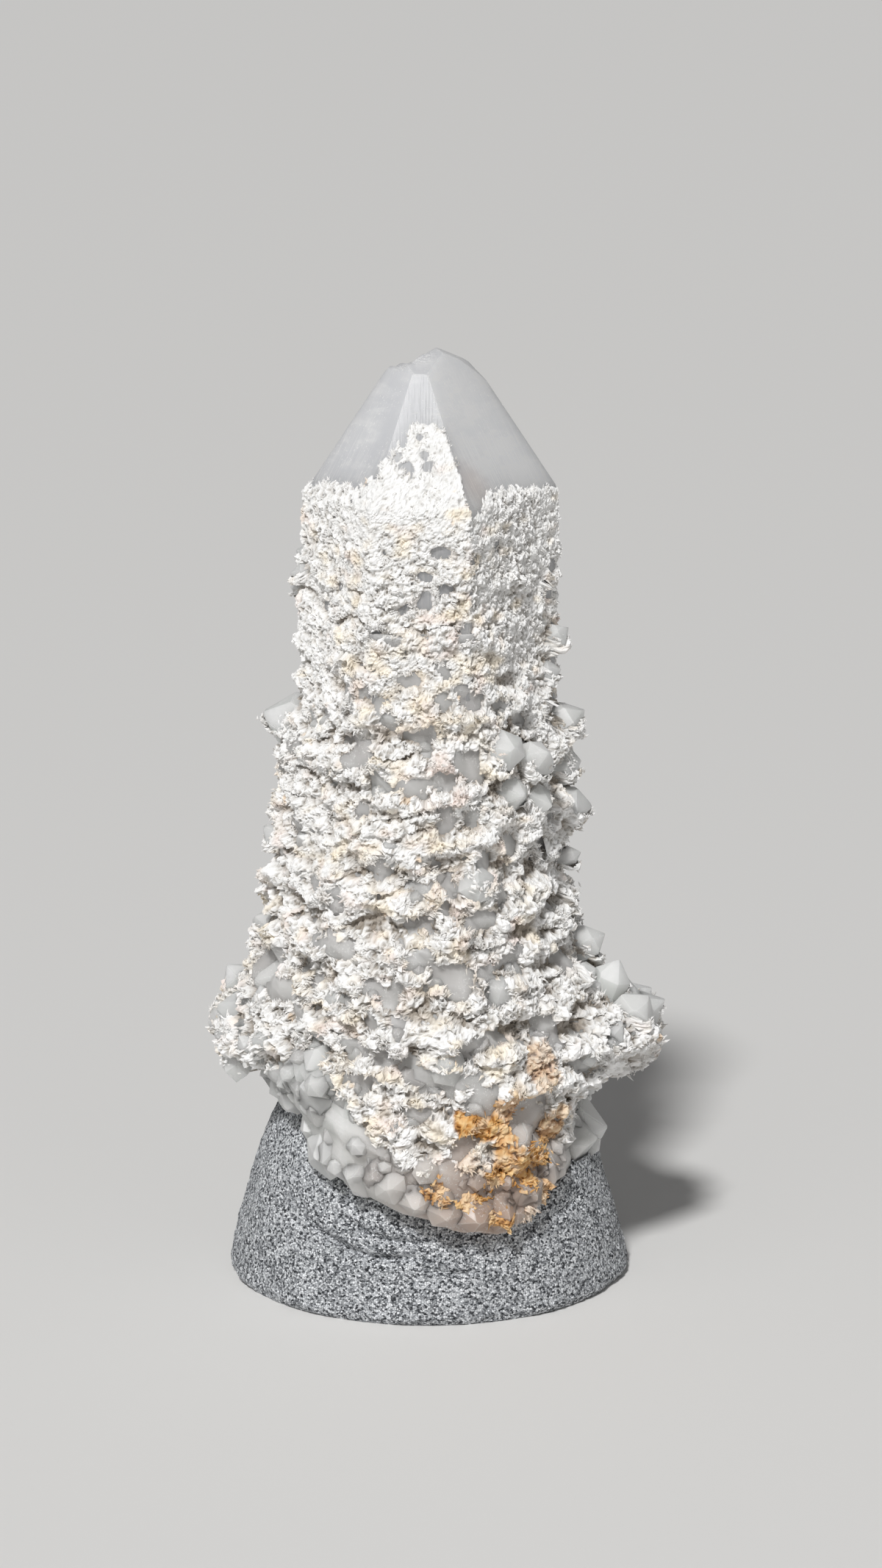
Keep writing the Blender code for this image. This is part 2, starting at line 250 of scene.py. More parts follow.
# The two shoulders: azimuth, height, reach, spread in degrees, spread in height
SHOULDERS = ((186, 53, 7.0, 28, 8), (-6, 53, 10.0, 26, 8))

# The crust's upper edge and the broken lower edge: azimuth, height
CRUST_EDGE = (
    (-175, 163.9), (-154, 165), (-132, 165), (-124, 166.5), (-118, 168.3), (-114, 171), (-104, 174.5),
    (-97, 177), (-84, 177.3), (-79, 176.6), (-76, 171), (-71, 160), (-66, 161.5), (-54, 164),
    (-31, 163.7), (-5, 163), (12, 162), (40, 165), (70, 168), (95, 174), (118, 166), (150, 162),
    (185, 163.9),
)
LOWER_EDGE = (
    (-180, 38.5), (-158, 38), (-137, 33.3), (-126, 29), (-112, 26.5), (-95, 23.3), (-77, 19.4),
    (-65, 18), (-52, 22.5), (-38, 25), (-12, 24), (20, 28), (60, 33), (95, 34), (140, 36), (180, 38.5),
)
UNDERSIDE_DIP = 19
LUMP_WIDTH, LUMP_HEIGHT = 8.0, 5.2
LUMP_SHARE, DETAIL_SHARE, DETAIL_SCALE = 1.5, 0.5, 2.1
DETAIL_SHIFT = (7, 3, 5)
LUMP_RELIEF = ((166, 0.15), (140, 0.9), (118, 2.0), (80, 2.6), (45, 2.6), (30, 1.6), (14, 0.6))
print("faces of the point:", 2 * len(FACE_DISTANCES) + len(TIP_FACES), "heights of the body:", len(GROWTH))


# %% Curves through a few keys, and noise
def smooth_step(t):
    t = np.clip(t, 0, 1)
    return t * t * (3 - 2 * t)


def keyed(keys, at):
    """The values at places along (place, value, ...) keys, eased between neighbours."""
    table = np.array(sorted(keys), float)
    at = np.clip(at, table[0, 0], table[-1, 0])
    after = np.clip(np.searchsorted(table[:, 0], at, side="left"), 1, len(table) - 1)
    low, high = table[after - 1], table[after]
    share = smooth_step((at - low[..., 0]) / (high[..., 0] - low[..., 0]))
    values = low[..., 1:] + (high[..., 1:] - low[..., 1:]) * share[..., None]
    return values[..., 0] if table.shape[1] == 2 else values


def around(azimuth):
    return (azimuth + 180) % 360 - 180


def facing(azimuth, slope=90):
    """The outward direction of a face: slope 90 is upright, slope 0 lies flat."""
    a, s = np.radians(azimuth), np.radians(slope)
    return np.stack([np.cos(a) * np.sin(s), np.sin(a) * np.sin(s), np.cos(s) + 0 * a], axis=-1)


def swell(points, size, shift=(0, 0, 0)):
    """Smooth noise from about -1 to 1 at each point, with hills of that size, one size or one an axis."""
    places = (points / np.array(size, float) + np.array(shift, float)).reshape(-1, 3).tolist()
    return np.array([noise.noise(place) for place in places]).reshape(points.shape[:-1])


# %% The surface of the body
def point_faces():
    """Each face of the quartz point, as its direction and its distance from the origin."""
    faces = []
    for turn, distance in enumerate(FACE_DISTANCES):
        azimuth = FIRST_FACE_AZIMUTH + 60 * turn
        faces.append((facing(azimuth), distance))
        end = facing(azimuth, END_FACE_SLOPE)
        faces.append((end, end @ (facing(azimuth) * distance + (0, 0, PRISM_TOP))))
    for azimuth, slope, out, height in TIP_FACES:
        tip = facing(azimuth, slope)
        faces.append((tip, tip @ (facing(azimuth) * out + (0, 0, height))))
    return faces


def prism_radius(azimuth, height):
    """How far the quartz point reaches from its axis, along each azimuth at each height."""
    ray = facing(azimuth)
    reach = np.full(np.shape(azimuth), ROUND_RADIUS * 2.0)
    for direction, distance in point_faces():
        run = ray @ direction
        far = (distance - direction[2] * height) / np.maximum(run, 1e-6)
        reach = np.where(run > 1e-6, np.minimum(reach, far), reach)
    return np.maximum(reach, 0.5)


def body_radius(azimuth, height):
    """The body's radius before its lumps."""
    spread = CORNER_SPREAD * smooth_step((PRISM_TOP - height) / CORNER_DEPTH)
    core = sum(prism_radius(azimuth + spread * turn, height) for turn in (-1, -0.5, 0, 0.5, 1)) / 5
    roundness = ROUND_SHARE * smooth_step((ROUND_FROM - height) / (ROUND_FROM - ROUND_BY))
    sides = keyed(GROWTH, height)
    quarter = (azimuth % 360) / 90
    side = quarter.astype(int) % 4
    share = smooth_step(quarter - quarter.astype(int))
    this_side = np.take_along_axis(sides, side[..., None], -1)[..., 0]
    next_side = np.take_along_axis(sides, (side[..., None] + 1) % 4, -1)[..., 0]
    reach = this_side * (1 - share) + next_side * share
    for middle, at, out, wide, tall in SHOULDERS:
        off = around(azimuth - middle) / wide
        reach = reach + out * np.exp(-off * off - ((height - at) / tall) ** 2)
    return core + (ROUND_RADIUS - core) * roundness + reach


def body_points(azimuth, height):
    """Points on the grown-over body's surface, one for each azimuth and height."""
    azimuth, height = np.asarray(azimuth, float), np.asarray(height, float)
    up = height[..., None] * np.array((0, 0, 1.0))
    place = facing(azimuth) * body_radius(azimuth, height)[..., None] + up
    coarse = swell(place, (LUMP_WIDTH, LUMP_WIDTH, LUMP_HEIGHT))
    sizes = np.array((LUMP_WIDTH, LUMP_WIDTH, LUMP_HEIGHT)) / DETAIL_SCALE
    fine = swell(place, sizes, DETAIL_SHIFT)
    lump = keyed(LUMP_RELIEF, height) * (LUMP_SHARE * coarse + DETAIL_SHARE * fine)
    return place + facing(azimuth) * lump[..., None]


print("front of the body at 50 mm up:", body_points(-90.0, 50.0).round(1))


# %% Turning arrays into pieces
def add_piece(name, points, faces, finish, marks=None, smooth=False):
    """A piece from points in mm and faces, with numbers kept at its points for the finish to read."""
    mesh = bpy.data.meshes.new(name)
    mesh.from_pydata((np.asarray(points) * MM).tolist(), [], faces)
    mesh.materials.append(finish)
    for mark, values in (marks or {}).items():
        mesh.attributes.new(mark, "FLOAT", "POINT").data.foreach_set("value", values.astype(np.float32))
    if smooth:
        mesh.shade_smooth()
    piece = bpy.data.objects.new(name, mesh)
    bpy.context.scene.collection.objects.link(piece)
    return seat(piece)


def seat(piece, node="encrusted_crystal"):
    """A piece rides on the one body and stands for its node, which is hidden."""
    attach(piece, "root")
    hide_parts(node)
    triangles = sum(len(face.vertices) - 2 for face in piece.data.polygons)
    print(f"{piece.name}: {triangles} triangles")
    return piece


def with_modifiers(piece):
    """The piece's mesh with its modifiers applied."""
    graph = bpy.context.evaluated_depsgraph_get()
    made = bpy.data.meshes.new_from_object(piece.evaluated_get(graph))
    piece.modifiers.clear()
    piece.data = made
    return piece


# %% [markdown]
# ## Milky quartz
#
# The quartz is see-through but clouded: fine fluid-filled veils scatter the light, and the faces carry
# faint growth lines that run down them. Plain transmission with quartz's own refraction index gives the
# depth, and the share that isn't transmitted gives the milk. The lines follow each face because they
# are noise across the level direction of that face, which its normal tells.

# %% The finishes of the quartz
QUARTZ_INDEX = 1.544
# How far light wanders in the milk of the point and of the small crystals, in mm
POINT_GLOW, DRUSE_GLOW = 14, 7
# How wide the painted highlight along the point's edges is, in mm
EDGE_HIGHLIGHT_WIDTH = 0.4
CHIP_PLACE, CHIP_NEAR, CHIP_FAR = (-2.5, -3.0, 187.2), 2.5, 5.5
TINT_PLACE, TINT_FAR = (10, -20, 166), 10
# Painted shade and light on the point: each face's colour is scaled by a slope over its direction, up to a
# most
FACE_SHADE_SLOPE, FACE_SHADE_LEVEL, FACE_SHADE_MOST = (0.12, 0.8, -0.6), 1.78, 1.22
POINT_CLEAR, POINT_MILK, POINT_EDGE_HIGHLIGHT = rgb(221, 222, 225), rgb(254, 254, 253), rgb(253, 253, 253)
BREAK_GREY, BREAK_DUST, POINT_TINT = rgb(198, 198, 200), rgb(254, 254, 254), rgb(222, 206, 196)
DRUSE_CLEAR, DRUSE_MILK, DRUSE_SHADED = rgb(232, 235, 231), rgb(254, 254, 251), rgb(180, 175, 173)
DRUSE_IRON, DRUSE_EDGE_HIGHLIGHT, DRUSE_DUST = rgb(192, 166, 150), rgb(252, 252, 250), rgb(252, 251, 249)


def new_quartz(name, glow, transmission):
    constants = {
        "IOR": QUARTZ_INDEX,
        "Transmission Weight": transmission,
        "Subsurface Weight": 0.8,
        "Subsurface Scale": glow * MM,
        "Subsurface Radius": (1, 1, 1),
    }
    return new_finish(name, constants)


def painted_edge_highlight(place):
    """A painted highlight: 1 along the point's edges, where two of its planes meet, and 0 on its faces."""
    planes_near = 0.0
    for direction, distance in point_faces():
        gap = distance * MM - place.vector("DOT_PRODUCT", place, tuple(direction), output=1)
        planes_near = planes_near + gap.between(EDGE_HIGHLIGHT_WIDTH * MM, 0)
    return (planes_near - 1).between(0, 1)


def finish_point():
    """The point's milk: veils, level banks, growth lines that run down each face, and a dusty break."""
    finish, place, shader = new_quartz("milky_quartz", POINT_GLOW, 0.2)
    normal = place.node("ShaderNodeNewGeometry", output="True Normal")
    level = place.vector("NORMALIZE", place.vector("CROSS_PRODUCT", normal, (0, 0, 1)))
    across = place.vector("DOT_PRODUCT", level, place, output=1)
    height = place.node("ShaderNodeSeparateXYZ", None, {0: place}, output=2)
    stretched = place.node("ShaderNodeCombineXYZ", None, {0: across, 2: height * 0.05})
    fine_lines = place.noise(stretched, 0.4, 4).between(0.48, 0.66)
    wide_lines = place.noise(stretched, 2.2, 2).between(0.4, 0.75)
    low_down = height.between(PRISM_TOP * MM + 0.016, PRISM_TOP * MM)
    veils = place.noise(place, 9, 3).between(0.38, 0.66)
    banks = place.noise(place.vector("MULTIPLY", place, (0.3, 0.3, 1)), 3.0, 3).between(0.45, 0.66)
    specks = place.noise(place, 0.5, 1).between(0.64, 0.72) * place.noise(place, 7, 1).between(0.4, 0.6)
    streaks = (fine_lines * 0.6 + wide_lines * 0.25) * (low_down * 0.75 + 0.25)
    milk = veils * 0.35 + banks * 0.35 + streaks + specks * 1.2
    color = place.mix(milk.between(0, 1.3), POINT_CLEAR, POINT_MILK)
    # Painted shade: the colour is scaled by the way each face turns, so the front faces come out darker than
    # the flanks
    share = place.vector("DOT_PRODUCT", normal, FACE_SHADE_SLOPE, output=1) + FACE_SHADE_LEVEL
    share = place.math("MINIMUM", share, FACE_SHADE_MOST)
    color = place.vector("MULTIPLY", color, share)
    # Painted highlight along the point's edges
    color = place.mix(painted_edge_highlight(place) * 0.2, color, POINT_EDGE_HIGHLIGHT)
    chip_place = tuple(v * MM for v in CHIP_PLACE)
    far = place.vector("DISTANCE", place, chip_place, output=1)
    chip = far.between(CHIP_FAR * MM, CHIP_NEAR * MM)
    dust = chip * place.noise(place, 0.9, 4, 0.7).between(0.42, 0.6)
    color = place.mix(chip * 0.6, color, BREAK_GREY)
    color = place.mix(dust, color, BREAK_DUST)
    tint_place = tuple(v * MM for v in TINT_PLACE)
    tint = place.vector("DISTANCE", place, tint_place, output=1).between(TINT_FAR * MM, 0)
    color = place.mix(tint * 0.6, color, POINT_TINT)
    grooves = fine_lines * 0.7 + place.noise(place, 0.8, 3) * (chip * 6 + 0.4)
    bump = place.node("ShaderNodeBump", None, {"Strength": 0.3, "Distance": 0.06 * MM, "Height": grooves})
    place.join(shader.inputs, "Base Color", color)
    place.join(shader.inputs, "Roughness", 0.4 + fine_lines * 0.12 + specks * 0.3 + chip * 0.3)
    place.join(shader.inputs, "Normal", bump)
    return finish


def finish_druse():
    """The small crystals' milk, which reads three marks: its tone, which holds painted shade in the windows,
    its iron, and a painted highlight along its edges.
    """
    finish, place, shader = new_quartz("druse_quartz", DRUSE_GLOW, 0.14)
    tone, iron, frost = (place.attribute(mark) for mark in ("tone", "iron", "frost"))
    normal = place.node("ShaderNodeNewGeometry", output="True Normal")
    face = place.noise(normal, 420, 1).between(0.38, 0.62)
    veils = place.noise(place, 6, 4).between(0.36, 0.66)
    dust = place.noise(place, 0.5, 3, 0.7).between(0.55, 0.66) * place.noise(place, 5, 1).between(0.42, 0.56)
    color = place.mix(veils * 0.5 + face * 0.5, DRUSE_CLEAR, DRUSE_MILK)
    # Deeper tone: random from crystal to crystal, plus painted shade on the crystals in the windows
    color = place.mix(tone, color, DRUSE_SHADED)
    color = place.mix(iron, color, DRUSE_IRON)
    # Painted highlight along the crystals' edges
    color = place.mix(frost * 0.45, color, DRUSE_EDGE_HIGHLIGHT)
    color = place.mix(dust * 0.7, color, DRUSE_DUST)
    height = place.noise(place, 0.9, 3) + dust
    bump = place.node("ShaderNodeBump", None, {"Strength": 0.3, "Distance": 0.08 * MM, "Height": height})
    place.join(shader.inputs, "Base Color", color)
    place.join(shader.inputs, "Roughness", 0.34 + veils * 0.12 + dust * 0.4)
    place.join(shader.inputs, "Normal", bump)
    return finish


point_finish = finish_point()
druse_finish = finish_druse()
print("finishes so far:", [finish.name for finish in bpy.data.materials])

# %% [markdown]
# ## The quartz point
#
# The point is one crystal with flat faces, so it is a block cut back plane by plane. Its edges get a
# narrow bevel, which catches the light as real crystal edges do. The tip was broken once: a block with
# rough, shell-like faces is taken out of it, so that the break is rough while the faces stay smooth.


# %% A block cut back to flat faces
def cut_crystal(faces, foot, size):
    """A block cut back to flat faces, each a direction and a distance, over a flat base at foot."""
    bm = bmesh.new()
    bmesh.ops.create_cube(bm, size=size)
    for direction, distance in [*faces, (np.array((0, 0, -1.0)), -foot)]:
        everything = bm.verts[:] + bm.edges[:] + bm.faces[:]
        plane = {"plane_co": direction * distance, "plane_no": direction, "clear_outer": True}
        cut = bmesh.ops.bisect_plane(bm, geom=everything, dist=1e-4, **plane)
        rim = [e for e in cut["geom_cut"] if isinstance(e, bmesh.types.BMEdge)]
        if rim:
            bmesh.ops.contextual_create(bm, geom=rim)
    bmesh.ops.recalc_face_normals(bm, faces=bm.faces)
    return bm


# %% The point with its bevels and its broken tip
BEVEL = 0.16
CHIP_BLOCK = 24
CHIP_CUTS = 44
CHIP_ROUGHNESS = ((2.6, 0.55), (1.0, 0.22), (0.45, 0.1))


def scaled_object(bm, name):
    """An object from a bmesh in millimetres."""
    bmesh.ops.scale(bm, vec=(MM, MM, MM), verts=bm.verts)
    mesh = bpy.data.meshes.new(name)
    bm.to_mesh(mesh)
    bm.free()
    made = bpy.data.objects.new(name, mesh)
    bpy.context.scene.collection.objects.link(made)
    return made


def chip_block():
    """The piece broken out of the tip: a block over a shelf, with a slope that rises to the tip."""
    rise = facing(CHIP_AZIMUTH, CHIP_SLOPE)
    bm = bmesh.new()
    middle = Matrix.Translation((CHIP_START - CHIP_BLOCK / 4, 0, CHIP_SHELF + CHIP_BLOCK / 2))
    bmesh.ops.create_cube(bm, size=CHIP_BLOCK, matrix=middle)
    start = Vector((CHIP_START, 0, CHIP_SHELF))
    everything = bm.verts[:] + bm.edges[:] + bm.faces[:]
    cut = bmesh.ops.bisect_plane(bm, geom=everything, plane_co=start, plane_no=rise, clear_outer=True)
    rim = [e for e in cut["geom_cut"] if isinstance(e, bmesh.types.BMEdge)]
    bmesh.ops.contextual_create(bm, geom=rim)
    bmesh.ops.recalc_face_normals(bm, faces=bm.faces)
    bmesh.ops.subdivide_edges(bm, edges=bm.edges, cuts=CHIP_CUTS, use_grid_fill=True)
    for vertex in bm.verts:
        for size, depth in CHIP_ROUGHNESS:
            vertex.co += noise.noise_vector(vertex.co / size) * depth
    return scaled_object(bm, "chip_block")


def quartz_point():
    bm = cut_crystal(point_faces(), PRISM_FOOT, 4 * APEX_HEIGHT)
    bmesh.ops.bevel(bm, geom=bm.edges, offset=BEVEL, segments=2, affect="EDGES", clamp_overlap=True)
    point = scaled_object(bm, "quartz_point")
    chip = chip_block()
    cut = point.modifiers.new("chip", "BOOLEAN")
    cut.operation = "DIFFERENCE"
    cut.object = chip
    cut.solver = "EXACT"
    with_modifiers(point)
    bpy.data.objects.remove(chip)
    point.data.materials.clear()
    point.data.materials.append(point_finish)
    return seat(point)


quartz_point()

# %% [markdown]
# ## The druse
#
# Small quartz crystals cover the body from its waist down. Each is again a block cut back to flat faces,
# a little uneven, since no two real ones are alike. The large ones repeat the solids' crystals. The rest
# crowd on the bare rim and the shoulders, and about half of the crust's lower windows have a crystal set
# in them, to show a bare face.

# %% Crystals that the solid has too
SIDE_CRYSTALS = {
    "upper_left": (
        (180, 149, 4.0, 1.8, 20), (186, 145.5, 4.0, 1.7, 0), (179, 142, 3.4, 1.8, 10),
        (177, 115, 12.0, 4.6, 14), (183, 92, 6.5, 2.0, 35), (184, 74, 7.0, 1.2, 25),
    ),
    "left_shoulder": (
        (182, 62, 7.0, 2.4, 50), (190, 57, 8.0, 1.6, 22), (194, 52, 9.0, 1.2, 0), (172, 55, 8.0, 1.6, 30),
    ),
    "upper_right": (
        (6, 132, 5.0, 2.0, 35), (2, 125, 5.0, 1.6, 10), (6, 115, 7.5, 2.6, 30), (3, 106, 9.0, 2.0, 0),
        (3, 97, 8.0, 3.6, -5), (0, 87, 3.6, 2.0, 20), (0, 69, 8.0, 3.4, 25),
    ),
    "bare_cluster": (
        (-56, 114, 8.0, 3.0, 20), (-38, 111, 7.5, 3.2, 25), (-50, 105, 9.0, 3.0, 5), (-36, 102, 7.0, 2.6, -5),
    ),
    "right_shoulder": (
        (-7, 62, 7.5, 4.5, 68), (-12, 57, 8.5, 3.6, 48), (-2, 56, 7.5, 1.8, 25), (-7, 51, 8.0, 1.6, 5),
        (-2, 47, 8.0, 2.0, -14), (8, 55, 8.0, 3.0, 40),
    ),
    "lower_rim": (
        (-150, 42, 8.0, 1.0, 10), (-137, 36.5, 9.0, 1.6, 0), (-126, 33, 10.0, 1.8, 0),
        (-113, 31, 11.0, 2.0, -5), (-101, 30, 7.0, 1.8, 5), (-93, 27, 7.5, 1.8, -10),
        (-85, 25, 7.5, 1.8, -10), (-76, 23.5, 8.0, 1.8, -8), (-67, 22.5, 10.5, 2.0, -6),
        (-57, 26, 8.0, 1.6, 0), (-46, 30, 9.0, 1.8, 6), (-32, 33, 7.5, 1.6, 10),
        (-19, 30, 10.0, 2.6, 5), (-7, 31, 12.0, 3.6, 0),
    ),
    "front_bare": (
        (-104, 97, 8.0, 0.6, 20), (-73, 90, 7.5, 0.6, 25), (-120, 66, 9.0, 0.8, 20),
        (-66, 68, 9.0, 0.8, 30), (-84, 55, 8.0, 0.8, 20), (-62, 38, 12.0, 1.0, 15),
        (-100, 42, 10.0, 0.8, 10), (-128, 48, 10.0, 0.8, 20),
    ),
}
BACK_CRYSTALS = 15
BACK_AZIMUTHS = (28, 168)
BACK_HEIGHTS = (42, 148)
BACK_SIZES, BACK_LARGER_LOW = (4.5, 6.5), 3.0
BACK_REACHES, BACK_LIFTS = (1.2, 2.6), (0, 42)
CRYSTAL_ROOT = 5
CRYSTAL_TIP = 0.6
CRYSTAL_SLOPES = (40, 50)
CRYSTAL_SIDES = (0.82, 1.0)
CRYSTAL_TOPS = (0.72, 0.98)
CRYSTAL_LEAN = 9
# A crystal's edges are worn round: how far, as a share of its width
ROUNDED_EDGE = 0.035
OFF_THE_FACES = 0.01


def small_crystal(width, length, rng):
    """A six-sided crystal along +Z from z = 0, with rounded edges: its points, its faces and its painted edge
    highlight.

    The painted highlight is 1 at the points that lie on none of the flat faces, which are those along the
    edges.
    """
    faces = []
    radius = width / 2
    steep = rng.uniform(*CRYSTAL_SLOPES)
    point_height = radius * math.tan(math.radians(steep))
    turn = rng.uniform(0, 60)
    for k in range(6):
        azimuth = turn + 60 * k
        out = radius * rng.uniform(*CRYSTAL_SIDES)
        faces.append((facing(azimuth), out))
        end = facing(azimuth, steep)
        top = length - point_height * rng.uniform(*CRYSTAL_TOPS)
        faces.append((end, end @ (facing(azimuth) * out + (0, 0, top))))
    bm = cut_crystal(faces, 0.0, 4 * (length + width))
    rounding = {"offset": width * ROUNDED_EDGE, "segments": 2, "affect": "EDGES", "clamp_overlap": True}
    bmesh.ops.bevel(bm, geom=bm.edges, **rounding)
    bm.verts.index_update()
    points = np.array([tuple(vertex.co) for vertex in bm.verts])
    loops = [[vertex.index for vertex in face.verts] for face in bm.faces]
    bm.free()
    gaps = np.min([distance - points @ direction for direction, distance in faces], axis=0)
    return points, loops, gaps > OFF_THE_FACES


def place_crystal(spec, rng):
    """A crystal on the body: azimuth, height, width, reach beyond the body, lift above the horizontal."""
    azimuth, height, width, reach, lift = spec
    root = body_points(azimuth, height)
    lean = facing(azimuth + rng.uniform(-CRYSTAL_LEAN, CRYSTAL_LEAN), 90 - lift)
    points, loops, frost = small_crystal(width, CRYSTAL_ROOT + reach + CRYSTAL_TIP, rng)
    turn = np.array(Vector(lean).to_track_quat("Z", "Y").to_matrix())
    return points @ turn.T + root - lean * CRYSTAL_ROOT, loops, frost


def solid_crystals():
    """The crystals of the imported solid, drawn in the same order."""
    rng = random.Random(SEED)
    found = [place_crystal(spec, rng) for specs in SIDE_CRYSTALS.values() for spec in specs]
    low, high = BACK_HEIGHTS
    for number in range(BACK_CRYSTALS):
        height = high + (low - high) * ((number + 0.5) / BACK_CRYSTALS)
        width = rng.uniform(*BACK_SIZES) + BACK_LARGER_LOW * (high - height) / (high - low)
        azimuth = rng.uniform(*BACK_AZIMUTHS)
        reach, lift = rng.uniform(*BACK_REACHES), rng.uniform(*BACK_LIFTS)
        found.append(place_crystal((azimuth, height, width, reach, lift), rng))
    return found


large_crystals = solid_crystals()
print("crystals that the solid has too:", len(large_crystals))

# %% [markdown]
# ## The crust's windows
#
# Between its clods the crust leaves windows where bare quartz shows. On the front their places were read
# from the photo, as azimuth, height, width and tallness in millimetres. On the back, which the
# photo doesn't show, windows of like sizes are strewn by chance.

# %% Windows read on the front
WINDOWS = (
    (-104, 174.8, 1.3, 1.2), (-94.3, 174.8, 1.2, 1.1), (-100.4, 169.6, 2.4, 2.4), (-116.8, 168.7, 2.2, 1.9),
    (-89.6, 169.6, 1.8, 1.4), (-91.2, 171.6, 1.2, 1.0), (-106.9, 171.2, 1.2, 1.2),
    (-84, 153.5, 2.4, 1.4), (-93, 149, 2.4, 1.2), (-83, 146.5, 3.3, 2.6), (-91, 144.5, 1.9, 1.9),
    (-100, 142.5, 1.9, 1.4), (-73, 138, 2.1, 2.1), (-68.5, 151.5, 1.9, 2.8), (-50, 154, 1.2, 2.4),
    (-111, 137.5, 2.3, 1.4), (-106, 136.5, 1.9, 1.2), (-97, 128.7, 2.8, 1.0), (-83, 131, 1.9, 2.8),
    (-153, 141, 2.1, 1.9), (-138, 145, 1.3, 1.3), (-128, 126, 2.8, 2.3), (-115, 125.8, 2.8, 2.3),
    (-111, 124.5, 2.3, 1.4), (-124, 122.5, 1.6, 1.9), (-155, 118.5, 2.8, 2.8), (-141, 120, 2.3, 1.2),
    (-84, 125, 1.9, 1.9), (-75, 126, 2.3, 2.8), (-70, 124.5, 2.8, 1.9), (-105, 121, 2.8, 2.0),
    (-92, 117, 4.2, 4.2), (-119.5, 113.5, 8, 5.5), (-160, 112, 3.8, 2.8), (-75, 113, 5.6, 2.8),
    (-95, 108.5, 7.5, 2.6), (-85, 109.2, 4.7, 2.6), (-72, 111, 5, 3), (-108, 109, 2.3, 2.3),
    (-134, 107.5, 1.9, 1.9), (-54, 121.5, 3, 2), (-33, 118, 3, 2.4), (-56, 113.5, 5, 4),
    (-38, 111, 5, 4), (-50, 105, 5.5, 3.6), (-36, 102, 3.4, 2.8), (-83, 102.3, 2.6, 4),
    (-73, 101.8, 2.3, 3.3),
    (-152, 96.5, 4.7, 4.2), (-115, 103, 1.4, 1.4), (-55, 95.5, 4.2, 4.7), (-69, 93.5, 2.8, 4.7),
    (-108, 92.3, 4.7, 2.5), (-88, 92.5, 2.3, 1.9), (-84, 90, 2.3, 1.4), (-94.5, 88.3, 4, 2.6),
    (-79.5, 88.3, 4.2, 2.8), (-72, 88, 3.8, 2.8), (-136, 87, 2.8, 2.3), (-122, 85.5, 3.8, 2.8),
    (-84, 84.5, 2.3, 1.6), (-61, 85.5, 2.3, 4.7), (-71, 81.5, 6, 4.2), (-92.5, 81, 4.7, 2.3),
    (-123, 76.5, 9, 3), (-93, 74.8, 4, 2.8), (-137, 70, 2.8, 2.8), (-87, 72.2, 2.8, 2.8),
    (-79.5, 70.7, 7.5, 5.2), (-59, 73, 5.6, 4.2), (-70, 71, 3.8, 2.8), (-131, 67, 2.3, 2.8),
    (-147, 64, 7, 4.7), (-160, 67.5, 11, 9), (-108, 69, 1.9, 1.9), (-102, 68, 4.2, 4.2),
    (-66, 66.8, 3.3, 4.2), (-116, 65.5, 1.4, 1.4), (-136, 61, 2.8, 2.3), (-107, 62.5, 3.3, 1.9),
    (-99, 62.7, 2.8, 1.9), (-50, 59.5, 5.6, 3.3), (-44, 57, 4.7, 4.2), (-113, 57, 5.6, 1.9),
    (-103, 56, 5.6, 2.3), (-78, 57, 2.8, 4.2), (-72, 58.5, 8, 2.3), (-126, 56, 3.3, 4.2),
    (-96, 53.9, 4.2, 2.8), (-86.5, 51.3, 10, 4), (-111, 50.5, 8.4, 2.2), (-74, 48, 5.7, 7),
    (-94.5, 44.5, 5, 2.5), (-57, 41, 8.3, 9.5), (-78, 38, 3.8, 3.8), (-13, 64, 10, 8),
    (-28, 69, 6, 3), (-24, 80, 4, 3), (-30, 92, 4, 3), (-20, 100, 4, 3), (-35, 49, 5, 3),
)
# Where the crust ends above the bare rim: azimuth, height
CRUST_FOOT = (
    (-180, 46), (-165, 45.5), (-152, 47), (-143, 50), (-134, 54), (-127, 55.5), (-121, 51.5),
    (-116, 46.5), (-110, 41.5), (-104, 38.5), (-98, 35.5), (-92, 34.2), (-84, 35.5), (-76, 34),
    (-68, 31.5), (-58, 31), (-50, 32), (-44, 34), (-36, 33), (-29, 37), (-20, 41), (-8, 43), (10, 43),
    (40, 41), (75, 40), (110, 41), (145, 43), (180, 46),
)
# Patches stained by iron: azimuth, height, width, tallness, and how strong the stain is
STAINS = (
    (-87.5, 29.5, 7, 3.6, 0.9), (-75.5, 27, 7, 2.8, 1.0), (-68.5, 23.5, 5.5, 3, 0.95),
    (-70, 31.5, 5, 3, 1.0), (-55, 34.5, 10, 4, 1.0), (-75, 43, 7.5, 6, 1.0), (-64, 44.5, 6, 5, 0.75),
    (-53, 52, 4, 8, 0.5), (-59, 30, 6, 4, 1.0), (-50, 25, 3, 4.5, 0.85), (-45, 38.5, 4, 8, 0.75),
    (-77, 33.5, 6, 2.6, 0.35), (-67, 37, 3, 7, 0.9), (-58, 21.5, 3, 3, 0.45),
)
print("windows on the front:", len(WINDOWS), "stained patches:", len(STAINS))

# %% Windows strewn over the back
BACK_WINDOW_ROWS = np.arange(50, 150, 6.4)
BACK_WINDOW_GAP, BACK_GAP_SHARES = 17, (0.6, 1.6)
BACK_START, BACK_END, BACK_STRAY = (-12, 12), 186, (-2, 2)
# The ranges of a window's width and tallness, and by how much more they grow towards the foot
BACK_WIDTHS, BACK_WIDER = (1.6, 3.4), (0.5, 5.0)
BACK_TALLNESSES, BACK_TALLER = (1.4, 2.4), (0.3, 2.4)
BACK_GROWTH_FOOT, BACK_GROWTH_OVER = 60, 80


